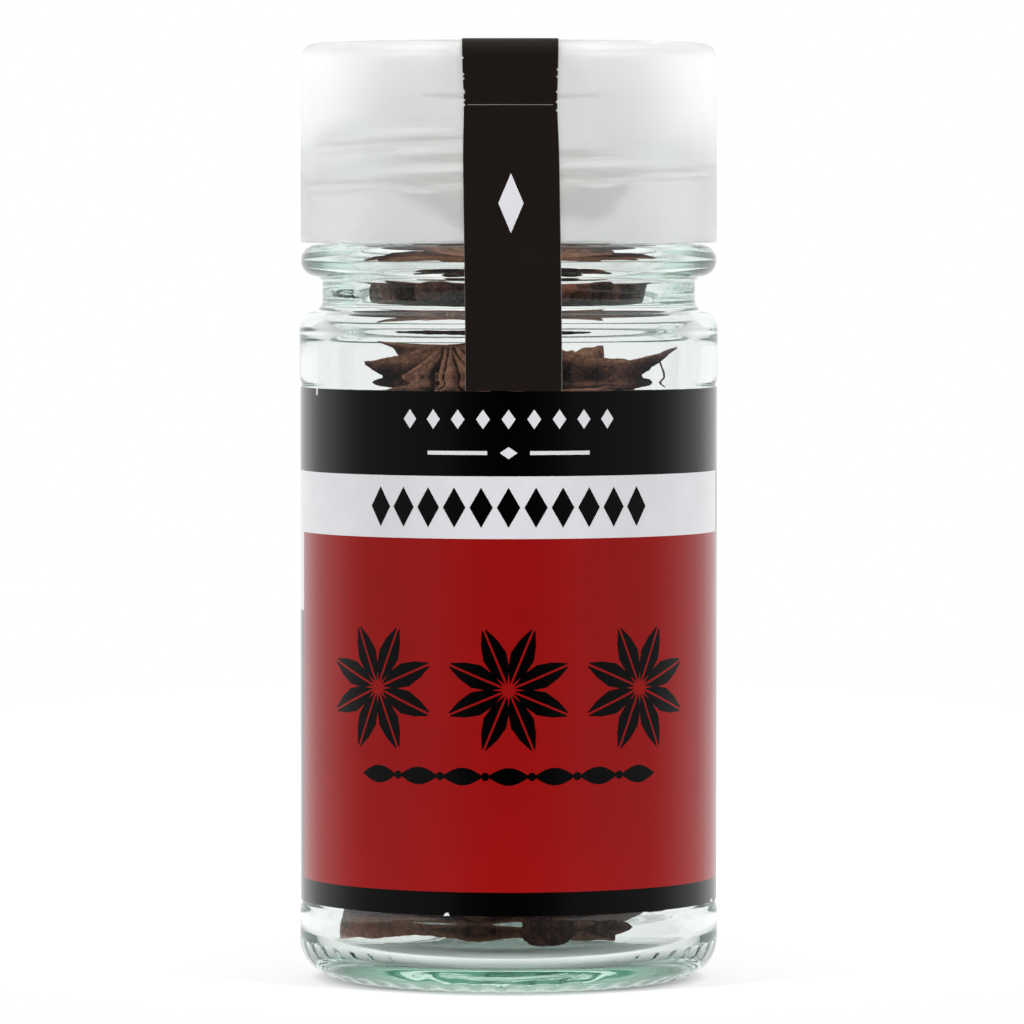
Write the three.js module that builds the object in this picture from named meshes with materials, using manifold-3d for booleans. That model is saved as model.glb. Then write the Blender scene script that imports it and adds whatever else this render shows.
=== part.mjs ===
// A shut glass spice jar, filled with whole star anise pods.
// Millimetres, +Z up. The origin is the centre of the base ring, on the surface that the jar stands on,
// and the label's front panel faces -Y.
//
// glass_jar    clear glass: base ring, heel, label panel, shoulder, neck groove, bead, threaded neck
// screw_cap    translucent plastic cap with an inner thread and a ring that seats on the jar's rim
// wrap_label   paper label right round the sunken label panel
// seal_strip   paper seal that runs from the front shoulder over the cap to the back shoulder
// star_anise   the heap of pods inside, fused into one solid over a core

import * as THREE from "three";
import { mergeVertices } from "three/addons/utils/BufferGeometryUtils.js";
import Module from "manifold-3d";

// ---- driving dimensions, jar ----
const BODY_RADIUS = 23;
const LATHE_SEGMENTS = 44;
const RING_INNER_RADIUS = 16.2; // the flat ring that the jar stands on
const RING_OUTER_RADIUS = 18.6;
const PUSH_UP = 2; // height of the hollow under the base
const HEEL_HEIGHT = 4.2;
const PANEL_RADIUS = 22.6; // the sunken panel that carries the label
const PANEL_STEP = 0.6; // height over which the wall steps in to the panel
const SHOULDER_Z = 71;
const SHOULDER_ROUNDING = [1.35, 2.1]; // along the radius and along z
const GROOVE_RADIUS = 20.5;
const GROOVE_FILLET = 1.3;
const GROOVE_FLOOR = [74.4, 76.5]; // lowest and highest z of the groove's straight wall
const BEAD_ROUNDING = [1.78, 1.7]; // along the radius and along z
const BEAD_CENTRE = [21.05, 78.7]; // radius and z
const NECK_RADIUS = 19.7;
const RIM_Z = 96.8;
const RIM_ROUNDING = 0.75;
const MOUTH_RADIUS = 17.9;
const INNER_RADIUS = 20.8;
const INNER_SHOULDER = [69.5, 77]; // z where the inner wall starts and stops narrowing
const INNER_CORNER = 2.4;
const FLOOR_Z = 3; // inner floor at its corner
const FLOOR_DOME = 2.3; // how far the middle of the inner floor stands above that

// ---- driving dimensions, cap and threads ----
const CAP_RADIUS = 22.85;
const CAP_BOTTOM_Z = 80.7;
const CAP_TOP_Z = 102.5;
const CAP_CORNER = 1.6;
const CAP_WALL = 1.5;
const CAP_ROOF = 1.4;
const STOP_RING = [19, 20]; // inner and outer radius of the ring under the roof
const RIM_GAP = 0.3; // between that ring and the jar's rim
const THREAD_PITCH = 4.2;
const THREAD_TURNS = 1.6;
const THREAD_START_Z = 87;
const THREAD_OPENING = 54; // where both threads start, in degrees from +X
const THREAD_REACH = 1.05; // how far each thread stands out of its wall
const THREAD_ROOT = 0.3; // how far it is sunk into its wall
const THREAD_STEPS = 40;

// ---- driving dimensions, label and seal ----
const LABEL_Z = [8.6, 64.9];
const LABEL_RADII = [22.7, 22.9];
const STRIP_WIDTH = 10.3;
const STRIP_THICKNESS = 0.2;
const STRIP_RADIUS = 23.1; // inner face, clear of the body and of the cap
const STRIP_TOP_Z = CAP_TOP_Z + 0.15;
const STRIP_BOTTOM_Z = 65.2;
const STRIP_OFFSET = [0.15, 0.55]; // sideways place of its middle at the top and at the bottom

// ---- driving dimensions, pods ----
const CARPELS = 8;
const CARPEL_DEPTH = 0.5; // keel to lip, as a share of the pod's radius
const CARPEL_WIDTH = 0.17; // half of its thickness, as a share of the pod's radius
const HUB_TOP = 0.2; // radius of the hub under the open face, as a share of the pod's radius
const HUB_FOOT = 0.1;
const HUB_HEIGHT = 0.42;
const HUB_CENTRE = 0.24; // depth of the hub's middle under the open face

// Each pod: centre, the way its open face looks (turn round Z from -Y, then elevation, in degrees),
// its spin about its own axis, its radius, and how far its carpels gape from 0 to 1.
const PODS = [
  { at: [-6, -3.5, 5.8], faces: [180, -86], spin: 0, radius: 14.6, gape: 0.2 },
  { at: [6, -2.5, 10.8], faces: [-60, 78], spin: 40, radius: 14, gape: 0.3 },
  { at: [4.9, 0.4, 69.2], faces: [-6, 86], spin: -18, radius: 15.8, gape: 0.12 },
  { at: [-6.8, -7.6, 70], faces: [-20, 42], spin: 27, radius: 10.6, gape: 0.1 },
  { at: [0.2, -1, 77.4], faces: [0, 86], spin: 0, radius: 16.6, gape: 0.2 },
  { at: [0.4, 0, 84.6], faces: [-30, 84], spin: 20, radius: 15.4, gape: 0.3 },
];
const CORE = { radius: 12.5, low: 11, high: 66, sides: 7, rings: 6 }; // the broad part, behind the label
const SPINE = { radius: 3, low: 62, high: 83, sides: 5, rings: 3 }; // the slim part, between the upper pods
const HEAP_CLEARANCE = 0.5; // least gap between a pod and the glass

const wasm = await Module();
wasm.setup();

/** A random number generator with a fixed seed, so that every build gives the same pods. */
function seededRandom(seed) {
  let state = seed >>> 0;
  return () => {
    state = (state + 0x6d2b79f5) >>> 0;
    let t = Math.imul(state ^ (state >>> 15), 1 | state);
    t = (t + Math.imul(t ^ (t >>> 7), 61 | t)) ^ t;
    return ((t ^ (t >>> 14)) >>> 0) / 4294967296;
  };
}

/** A closed BufferGeometry as a manifold-3d solid. */
function solidFrom(geometry) {
  const bare = geometry.clone();
  bare.deleteAttribute("normal");
  bare.deleteAttribute("uv");
  const merged = mergeVertices(bare, 1e-4);
  return new wasm.Manifold(
    new wasm.Mesh({
      numProp: 3,
      vertProperties: new Float32Array(merged.attributes.position.array),
      triVerts: new Uint32Array(merged.index.array),
    }),
  );
}

/** A manifold-3d solid as a BufferGeometry. */
function geometryFrom(solid) {
  const mesh = solid.getMesh();
  const geometry = new THREE.BufferGeometry();
  geometry.setAttribute("position", new THREE.BufferAttribute(new Float32Array(mesh.vertProperties), 3));
  geometry.setIndex(new THREE.BufferAttribute(new Uint32Array(mesh.triVerts), 1));
  geometry.computeVertexNormals();
  return geometry;
}

/** The outer skin of a joined solid, without the small hollows that joining leaves sealed inside. */
function outerSkin(solid) {
  const mesh = solid.getMesh();
  const corners = Array.from(mesh.triVerts);
  const parent = Array.from({ length: mesh.vertProperties.length / 3 }, (_, i) => i);
  const rootOf = (v) => {
    while (parent[v] !== v) {
      parent[v] = parent[parent[v]];
      v = parent[v];
    }
    return v;
  };
  for (let i = 0; i < corners.length; i += 3) {
    parent[rootOf(corners[i])] = rootOf(corners[i + 1]);
    parent[rootOf(corners[i + 1])] = rootOf(corners[i + 2]);
  }
  const counts = new Map();
  for (const v of corners) counts.set(rootOf(v), (counts.get(rootOf(v)) ?? 0) + 1);
  const outer = [...counts].reduce((a, b) => (b[1] > a[1] ? b : a))[0];
  const kept = [];
  for (let i = 0; i < corners.length; i += 3) {
    if (rootOf(corners[i]) === outer) kept.push(...corners.slice(i, i + 3));
  }
  const geometry = new THREE.BufferGeometry();
  geometry.setAttribute("position", new THREE.BufferAttribute(new Float32Array(mesh.vertProperties), 3));
  geometry.setIndex(kept);
  return geometry;
}

/** Points of an arc in the plane of radius and height, angles in degrees, round or with two half widths. */
function arc([radius, z], size, from, to, steps) {
  const [wide, tall] = Array.isArray(size) ? size : [size, size];
  return Array.from({ length: steps + 1 }, (_, i) => {
    const a = THREE.MathUtils.degToRad(THREE.MathUtils.lerp(from, to, i / steps));
    return [radius + wide * Math.cos(a), z + tall * Math.sin(a)];
  });
}

/** Points between two ends whose slope is flat at both, the first end left out. */
function eased([r0, z0], [r1, z1], steps) {
  return Array.from({ length: steps }, (_, i) => {
    const t = (i + 1) / steps;
    return [THREE.MathUtils.lerp(r0, r1, t * t * (3 - 2 * t)), THREE.MathUtils.lerp(z0, z1, t)];
  });
}

/** A solid of revolution about Z from [radius, z] points that start and end on the axis. */
function turned(profile) {
  const points = profile.map(([radius, z]) => new THREE.Vector2(Math.max(radius, 0), z));
  return new THREE.LatheGeometry(points, LATHE_SEGMENTS).rotateX(Math.PI / 2);
}

/** A closed surface over rings of points: each ring joins the next, and both ends are closed by fans. */
function skinned(rings) {
  const sides = rings[0].length;
  const index = [];
  for (let i = 0; i + 1 < rings.length; i++) {
    for (let k = 0; k < sides; k++) {
      const a = i * sides + k;
      const b = i * sides + ((k + 1) % sides);
      index.push(a, b, a + sides, b, b + sides, a + sides);
    }
  }
  const last = (rings.length - 1) * sides;
  for (let k = 1; k + 1 < sides; k++) {
    index.push(0, k + 1, k, last, last + k, last + k + 1);
  }
  const geometry = new THREE.BufferGeometry();
  geometry.setAttribute("position", new THREE.Float32BufferAttribute(rings.flat(2), 3));
  geometry.setIndex(index);
  return geometry;
}

/** A right-handed helical thread on a wall, standing outwards (way 1) or inwards (way -1). */
function thread(wallRadius, startZ, way) {
  const rings = [];
  for (let i = 0; i <= THREAD_STEPS; i++) {
    const share = i / THREAD_STEPS;
    const angle = share * THREAD_TURNS * 2 * Math.PI + THREE.MathUtils.degToRad(THREAD_OPENING);
    const z = startZ + share * THREAD_TURNS * THREAD_PITCH;
    const grown = Math.min(1, 0.15 + Math.min(share, 1 - share) * 9); // runs out at both ends
    const root = wallRadius - way * THREAD_ROOT;
    const crest = wallRadius + way * THREAD_REACH * grown;
    const section = [
      [root, z - 0.85],
      [crest, z - 0.3],
      [crest, z + 0.3],
      [root, z + 0.85],
    ];
    if (way > 0) section.reverse();
    rings.push(section.map(([r, h]) => [r * Math.cos(angle), r * Math.sin(angle), h]));
  }
  return solidFrom(skinned(rings));
}

/** The inner face of the glass, from the rim down to the middle of the floor. */
function innerFace() {
  return [
    ...arc([MOUTH_RADIUS + RIM_ROUNDING, RIM_Z - RIM_ROUNDING], RIM_ROUNDING, 90, 180, 2),
    [MOUTH_RADIUS, INNER_SHOULDER[1]],
    ...eased([MOUTH_RADIUS, INNER_SHOULDER[1]], [INNER_RADIUS, INNER_SHOULDER[0]], 3),
    ...arc([INNER_RADIUS - INNER_CORNER, FLOOR_Z + INNER_CORNER], INNER_CORNER, 0, -90, 3),
    [INNER_RADIUS * 0.45, FLOOR_Z + FLOOR_DOME * 0.72],
    [0, FLOOR_Z + FLOOR_DOME],
  ];
}

/** The hollow glass jar with its thread. */
function glassJar() {
  const heel = Array.from({ length: 6 }, (_, i) => {
    const a = (i / 5) * (Math.PI / 2);
    return [
      RING_OUTER_RADIUS + (BODY_RADIUS - RING_OUTER_RADIUS) * Math.sin(a),
      HEEL_HEIGHT * (1 - Math.cos(a)),
    ];
  });
  const panelLow = LABEL_Z[0] - 0.4;
  const panelHigh = LABEL_Z[1] + 0.4;
  const outside = [
    [0, PUSH_UP],
    [RING_INNER_RADIUS * 0.55, PUSH_UP * 0.88],
    [RING_INNER_RADIUS * 0.86, PUSH_UP * 0.42],
    [RING_INNER_RADIUS, 0],
    ...heel,
    [BODY_RADIUS, panelLow - PANEL_STEP],
    [PANEL_RADIUS, panelLow],
    [PANEL_RADIUS, panelHigh],
    [BODY_RADIUS, panelHigh + PANEL_STEP],
    ...arc([BODY_RADIUS - SHOULDER_ROUNDING[0], SHOULDER_Z], SHOULDER_ROUNDING, 0, 80, 3),
    ...arc([GROOVE_RADIUS + GROOVE_FILLET, GROOVE_FLOOR[0]], GROOVE_FILLET, 260, 180, 2),
    [GROOVE_RADIUS, GROOVE_FLOOR[1]],
    ...arc(BEAD_CENTRE, BEAD_ROUNDING, -95, 95, 5),
    [NECK_RADIUS, BEAD_CENTRE[1] + BEAD_ROUNDING[1] + 0.2],
    ...arc([NECK_RADIUS - RIM_ROUNDING, RIM_Z - RIM_ROUNDING], RIM_ROUNDING, 0, 90, 2),
  ];
  const body = solidFrom(turned([...outside, ...innerFace()]));
  return geometryFrom(body.add(thread(NECK_RADIUS, THREAD_START_Z, 1)));
}

/** The cap: a round-cornered shell, its stop ring and its inner thread, half a pitch below the jar's. */
function screwCap() {
  const roof = CAP_TOP_Z - CAP_ROOF;
  const inner = CAP_RADIUS - CAP_WALL;
  const profile = [
    [0, roof],
    [STOP_RING[0], roof],
    [STOP_RING[0], RIM_Z + RIM_GAP],
    [STOP_RING[1], RIM_Z + RIM_GAP],
    [STOP_RING[1], roof],
    [inner - 0.5, roof],
    [inner, roof - 0.5],
    [inner, CAP_BOTTOM_Z + 0.2],
    [inner + 0.2, CAP_BOTTOM_Z],
    [CAP_RADIUS - 0.3, CAP_BOTTOM_Z],
    [CAP_RADIUS, CAP_BOTTOM_Z + 0.3],
    ...arc([CAP_RADIUS - CAP_CORNER, CAP_TOP_Z - CAP_CORNER], CAP_CORNER, 0, 90, 4),
    [0, CAP_TOP_Z],
  ];
  const shell = solidFrom(turned(profile));
  return geometryFrom(shell.add(thread(inner, THREAD_START_Z - THREAD_PITCH / 2, -1)));
}

/** The label: a thin sleeve that goes right round the panel. */
function wrapLabel() {
  const [inner, outer] = LABEL_RADII;
  const [low, high] = LABEL_Z;
  return turned([
    [inner, low],
    [outer, low],
    [outer, high],
    [inner, high],
    [inner, low],
  ]);
}

/** The seal's path at one side position, as places along Y and heights, offset outwards. */
function sealPath(x, offset) {
  const side = Math.sqrt((STRIP_RADIUS + offset) ** 2 - x * x);
  const top = STRIP_TOP_Z + offset;
  const bend = CAP_CORNER + offset;
  const bendAt = [side - bend, top - bend];
  const up = [STRIP_BOTTOM_Z, 72, 80, 88, 95].map((z) => [side, z]);
  const half = [...up, ...arc(bendAt, bend, 0, 90, 4), [side * 0.45, top]];
  const back = half.map(([y, z]) => [y, z]);
  return [...half.map(([y, z]) => [-y, z]), ...back.reverse()];
}

/** The seal strip: a thin band that follows the cap's side, corner and roof, leaning a little. */
function sealStrip() {
  const columns = 6;
  const faces = [0, STRIP_THICKNESS].map((offset) =>
    Array.from({ length: columns + 1 }, (_, i) => {
      const across = (i / columns - 0.5) * STRIP_WIDTH;
      return sealPath(across, offset).map(([y, z]) => {
        const drop = (STRIP_TOP_Z - z) / (STRIP_TOP_Z - STRIP_BOTTOM_Z);
        const lean = THREE.MathUtils.lerp(STRIP_OFFSET[0], STRIP_OFFSET[1], drop);
        return [across + lean, y, z];
      });
    }),
  );
  const [under, over] = faces;
  const rings = under[0].map((_, v) => [
    ...over.map((line) => line[v]),
    ...under.map((line) => line[v]).reverse(),
  ]);
  return skinned(rings);
}

/** One carpel: a keeled boat along +X whose two lips gape on the +Z side. */
function carpel(reach, gape, random) {
  const depth = reach * CARPEL_DEPTH * THREE.MathUtils.lerp(0.88, 1.1, random());
  const width = reach * CARPEL_WIDTH * THREE.MathUtils.lerp(0.85, 1.2, random());
  const length = reach * THREE.MathUtils.lerp(0.86, 1, random());
  const beak = reach * THREE.MathUtils.lerp(0.02, 0.1, random());
  const stations = [
    // share of the length, width, depth, height of the lips and how far they part there
    [0.14, 0.32, 0.5, -0.02, 0.1],
    [0.36, 0.8, 0.86, 0, 0.6],
    [0.62, 1, 1, 0.02, 1],
    [0.86, 0.6, 0.62, 0.3, 0.6],
    [1, 0.14, 0.12, 1, 0.1],
  ];
  const rings = stations.map(([at, wide, deep, rise, part]) => {
    const top = beak * rise;
    const w = width * wide;
    const d = depth * deep;
    const lip = Math.min(w * 0.95, width * (0.22 + 0.75 * gape * part));
    return [
      [length * at, 0, top - d],
      [length * at, w, top - d * 0.52],
      [length * at, lip, top],
      [length * at, 0, top - d * 0.42 * (0.25 + gape * part)],
      [length * at, -lip, top],
      [length * at, -w, top - d * 0.52],
    ];
  });
  return solidFrom(skinned(rings));
}

/** A whole pod about the origin, open face towards +Z. */
function pod({ radius, gape, spin }, random) {
  const hub = new THREE.CylinderGeometry(radius * HUB_TOP, radius * HUB_FOOT, radius * HUB_HEIGHT, 7);
  const pieces = [solidFrom(hub.rotateX(Math.PI / 2).translate(0, 0, -radius * HUB_CENTRE))];
  for (let i = 0; i < CARPELS; i++) {
    const turn = spin + (i * 360) / CARPELS + THREE.MathUtils.lerp(-4, 4, random());
    const open = THREE.MathUtils.clamp(gape * THREE.MathUtils.lerp(0.4, 1.5, random()), 0, 1);
    pieces.push(carpel(radius, open, random).rotate([0, 0, turn]));
  }
  return pieces.reduce((whole, piece) => whole.add(piece));
}

/** The turn that takes a pod's open face from +Z to the way it looks. */
function facing([turn, elevation]) {
  const upright = new THREE.Quaternion().setFromEuler(
    new THREE.Euler(THREE.MathUtils.degToRad(90 - elevation), 0, 0),
  );
  const round = new THREE.Quaternion().setFromAxisAngle(
    new THREE.Vector3(0, 0, 1),
    THREE.MathUtils.degToRad(turn),
  );
  return round.multiply(upright);
}

/** A lumpy upright column that joins the pods, well inside the glass. */
function column({ radius, low, high, sides, rings }, random) {
  const sections = Array.from({ length: rings }, (_, i) => {
    const z = THREE.MathUtils.lerp(low, high, i / (rings - 1));
    const swell = i === 0 || i === rings - 1 ? 0.5 : 1;
    return Array.from({ length: sides }, (_, k) => {
      const angle = (k / sides) * 2 * Math.PI;
      const r = radius * swell * THREE.MathUtils.lerp(0.8, 1.15, random());
      return [r * Math.cos(angle), r * Math.sin(angle), z];
    });
  });
  return solidFrom(skinned(sections));
}

/** The room inside the glass, less a clearance, as a solid. */
function roomInside() {
  const face = innerFace().slice(2).reverse();
  const shrunk = face.map(([radius, z]) => [Math.max(radius - HEAP_CLEARANCE, 0), z + HEAP_CLEARANCE]);
  const [topRadius, topZ] = shrunk.at(-1);
  return solidFrom(turned([...shrunk, [topRadius, topZ], [0, topZ]]));
}

/** The heap: every pod in its place, joined to the core and kept clear of the glass. */
function starAnise() {
  const random = seededRandom(8);
  let heap = column(CORE, random).add(column(SPINE, random));
  for (const placed of PODS) {
    const matrix = new THREE.Matrix4().compose(
      new THREE.Vector3(...placed.at),
      facing(placed.faces),
      new THREE.Vector3(1, 1, 1),
    );
    heap = heap.add(pod(placed, random).transform(matrix.elements));
  }
  return outerSkin(heap.intersect(roomInside()));
}

/** A named mesh with its own finish. */
function piece(name, geometry, look) {
  const mesh = new THREE.Mesh(geometry, new THREE.MeshStandardMaterial(look));
  mesh.name = name;
  return mesh;
}

const jar = new THREE.Group();
jar.add(
  piece("glass_jar", glassJar(), {
    color: 0xe6f0ea,
    roughness: 0.03,
    metalness: 0,
    transparent: true,
    opacity: 0.35,
  }),
  piece("screw_cap", screwCap(), {
    color: 0xededed,
    roughness: 0.35,
    metalness: 0,
    transparent: true,
    opacity: 0.8,
  }),
  piece("wrap_label", wrapLabel(), { color: 0x9e2123, roughness: 0.45, metalness: 0 }),
  piece("seal_strip", sealStrip(), { color: 0x241f1d, roughness: 0.5, metalness: 0 }),
  piece("star_anise", starAnise(), { color: 0x5a3a2c, roughness: 0.8, metalness: 0 }),
);

export default jar;
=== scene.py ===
"""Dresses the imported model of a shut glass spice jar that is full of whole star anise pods.

Lengths in the classes are millimetres, and each mesh is made in metres in the model's own frame:
+Z up, origin at the centre of the base ring, the label's front panel towards -Y.
"""

import logging
import math
from collections.abc import Sequence
from dataclasses import dataclass, field
from enum import Enum

import bmesh
import bpy
import numpy as np
from mathutils import Matrix, Vector, noise


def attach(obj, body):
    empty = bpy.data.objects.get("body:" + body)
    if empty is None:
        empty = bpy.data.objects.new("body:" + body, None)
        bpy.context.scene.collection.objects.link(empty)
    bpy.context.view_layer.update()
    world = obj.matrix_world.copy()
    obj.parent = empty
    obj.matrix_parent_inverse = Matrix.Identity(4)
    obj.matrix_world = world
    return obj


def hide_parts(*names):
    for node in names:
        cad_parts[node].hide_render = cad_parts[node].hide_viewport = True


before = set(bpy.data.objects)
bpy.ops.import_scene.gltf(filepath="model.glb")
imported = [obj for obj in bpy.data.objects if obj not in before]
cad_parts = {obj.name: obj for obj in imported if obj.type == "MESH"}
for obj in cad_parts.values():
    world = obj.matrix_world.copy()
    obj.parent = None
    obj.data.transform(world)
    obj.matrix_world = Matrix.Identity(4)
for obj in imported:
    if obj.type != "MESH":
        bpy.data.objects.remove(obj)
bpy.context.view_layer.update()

MM = 0.001
LOG = logging.getLogger("spice_jar")

Array = np.ndarray
Colour = tuple[float, float, float]
Face = tuple[int, ...]
Socket = bpy.types.NodeSocket


# ------------------------------------------------------------------ shapes

def smoothstep(x: Array | float) -> Array | float:
    """Eases 0 to 1 with a level start and end, and holds outside that range."""
    x = np.clip(x, 0.0, 1.0)
    return x * x * (3 - 2 * x)


def line(start: Sequence[float], end: Sequence[float], steps: int) -> Array:
    """Points on a straight line, both ends included.

    Args:
        start: first point.
        end: last point.
        steps: how many stretches the line has.

    Returns:
        An array with one row for each point.
    """
    return np.linspace(np.asarray(start, float), np.asarray(end, float), steps + 1)


def arc(centre: Sequence[float], size: Sequence[float], turn: Sequence[float], steps: int) -> Array:
    """Points on an elliptical arc in the plane of radius and height.

    Args:
        centre: radius and height of the centre.
        size: half widths along the radius and the height.
        turn: first and last angle in degrees, counted from outwards to upwards.
        steps: how many stretches the arc has.

    Returns:
        An array of (radius, height) rows.
    """
    angles = np.radians(np.linspace(turn[0], turn[1], steps + 1))
    return np.column_stack([centre[0] + size[0] * np.cos(angles), centre[1] + size[1] * np.sin(angles)])


def eased(start: Sequence[float], end: Sequence[float], steps: int) -> Array:
    """Points from start to end whose radius changes gently at both ends.

    Args:
        start: first radius and height.
        end: last radius and height.
        steps: how many stretches the curve has.

    Returns:
        An array of (radius, height) rows.
    """
    points = line(start, end, steps)
    share = smoothstep(np.linspace(0, 1, steps + 1))
    points[:, 0] = start[0] + (end[0] - start[0]) * share
    return points


def smooth_curve(stations: Sequence[float], values: Sequence[float], at: Array) -> Array:
    """A curve through a few stations, without the kinks of straight stretches.

    Args:
        stations: rising places of the known values.
        values: the value at each station.
        at: places to work the curve out for.

    Returns:
        The curve's value at each place.
    """
    slopes = np.gradient(np.asarray(values, float), np.asarray(stations, float))
    i = np.clip(np.searchsorted(stations, at, side="right") - 1, 0, len(stations) - 2)
    x0, y0 = np.take(stations, i), np.take(values, i)
    width = np.take(stations, i + 1) - x0
    t = (at - x0) / width
    rise = np.take(values, i + 1) - y0
    a, b = slopes[i] * width - rise, rise - slopes[i + 1] * width
    return y0 + t * rise + t * (1 - t) * ((1 - t) * a + t * b)


def grid_faces(rows: int, columns: int, ring: bool, first: int = 0) -> list[Face]:
    """Quads between the rows of a grid of points.

    Args:
        rows: number of rows.
        columns: points in each row.
        ring: whether each row closes on itself.
        first: index of the grid's first point.

    Returns:
        One tuple of four indices for each quad.
    """
    i = np.arange(rows - 1)[:, None] * columns + first
    k = np.arange(columns if ring else columns - 1)[None, :]
    after = (k + 1) % columns
    quads = np.stack(np.broadcast_arrays(i + k, i + after, i + after + columns, i + k + columns), axis=-1)
    return [tuple(quad) for quad in quads.reshape(-1, 4).tolist()]


def round_grid(radii: Array, heights: Array, angles: Array) -> Array:
    """Turns grids of radius and height into points round the Z axis.

    Args:
        radii: radius of each point, rows along the profile and columns round the axis.
        heights: height of each point, in the same layout.
        angles: angle of each column in radians, counted from +X.

    Returns:
        An array of x, y, z rows.
    """
    x, y = radii * np.cos(angles)[None, :], radii * np.sin(angles)[None, :]
    return np.stack([x, y, heights], axis=-1).reshape(-1, 3)


def capped(rings: Array, columns: int, poles: Sequence[float]) -> tuple[Array, list[Face]]:
    """Closes a grid of rings with a fan of triangles at each end.

    Args:
        rings: x, y, z rows, ring by ring.
        columns: points in each ring.
        poles: heights of the two points on the axis, at the first and at the last ring.

    Returns:
        All the points, and the faces of the closed surface.
    """
    low, high, last = len(rings), len(rings) + 1, len(rings) - columns
    faces = grid_faces(len(rings) // columns, columns, ring=True)
    for k in range(columns):
        after = (k + 1) % columns
        faces.append((low, after, k))
        faces.append((high, last + k, last + after))
    return np.concatenate([rings, [[0.0, 0.0, height] for height in poles]]), faces


def sheet_faces(rows: int, columns: int) -> tuple[list[Face], list[Face], list[Face]]:
    """Faces of a thin sheet, whose points are a front grid and then the same grid for its back.

    Args:
        rows: number of rows in each grid.
        columns: points in each row.

    Returns:
        The faces of the front, of the back and of the four edges.
    """
    count = rows * columns
    front = grid_faces(rows, columns, ring=False)
    back = [tuple(v + count for v in reversed(face)) for face in front]
    starts = [row * columns for row in range(rows)]
    borders = [list(range(columns)), [v + columns - 1 for v in starts],
               list(range(count - columns, count))[::-1], starts[::-1]]
    edges = [(a, a + count, b + count, b) for border in borders for a, b in zip(border, border[1:])]
    return front, back, edges


def rod_faces(rows: int, columns: int) -> list[Face]:
    """Faces of a grid of rings whose two ends are each closed by one flat face.

    Args:
        rows: number of rings.
        columns: points in each ring.

    Returns:
        The faces of the closed surface.
    """
    faces = grid_faces(rows, columns, ring=True)
    faces.append(tuple(range(columns))[::-1])
    faces.append(tuple(range((rows - 1) * columns, rows * columns)))
    return faces


@dataclass
class Mesh:
    """Points, faces and what the finishes read from them, collected before a piece is made."""

    points: list[Array] = field(default_factory=list)
    faces: list[Face] = field(default_factory=list)
    materials: list[int] = field(default_factory=list)
    marks: dict[str, list[Array]] = field(default_factory=dict)
    count: int = 0

    def add(self, points: Array, faces: Sequence[Face], material: int = 0, **marks: Array) -> None:
        """Adds a patch of surface.

        Args:
            points: x, y, z rows in millimetres.
            faces: faces that count from this patch's first point.
            material: index of the material that the patch wears.
            marks: one number for each point, by the name of the attribute that holds it.
        """
        start = self.count
        self.points.append(np.asarray(points, float))
        self.faces.extend(tuple(v + start for v in face) for face in faces)
        self.materials.extend([material] * len(faces))
        for name, values in marks.items():
            self.marks.setdefault(name, []).append(np.asarray(values, float))
        self.count += len(points)

    def piece(self, name: str, node: str, slot: str, finishes: Sequence[bpy.types.Material],
              crease: float = 40.0) -> bpy.types.Object:
        """Makes the Blender object and ties it to the model.

        Args:
            name: the object's name.
            node: the node of the model that it stands for.
            slot: not used.
            finishes: its materials, in the order of their indices.
            crease: edges sharper than this many degrees stay sharp.

        Returns:
            The new object.
        """
        mesh = bpy.data.meshes.new(name)
        mesh.from_pydata((np.concatenate(self.points) * MM).tolist(), [], self.faces)
        for finish in finishes:
            mesh.materials.append(finish)
        mesh.polygons.foreach_set("material_index", self.materials)
        mesh.shade_smooth()
        mesh.set_sharp_from_angle(angle=math.radians(crease))
        for mark, values in self.marks.items():
            attribute = mesh.attributes.new(mark, "FLOAT", "POINT")
            attribute.data.foreach_set("value", np.concatenate(values).astype(np.float32))
        mesh.update()
        made = bpy.data.objects.new(name, mesh)
        bpy.context.scene.collection.objects.link(made)
        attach(made, "root")
        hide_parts(node)
        LOG.info("%s: %d points, %d faces, for %s", name, len(mesh.vertices), len(mesh.polygons), node)
        return made


# ------------------------------------------------------------------ finishes

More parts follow.
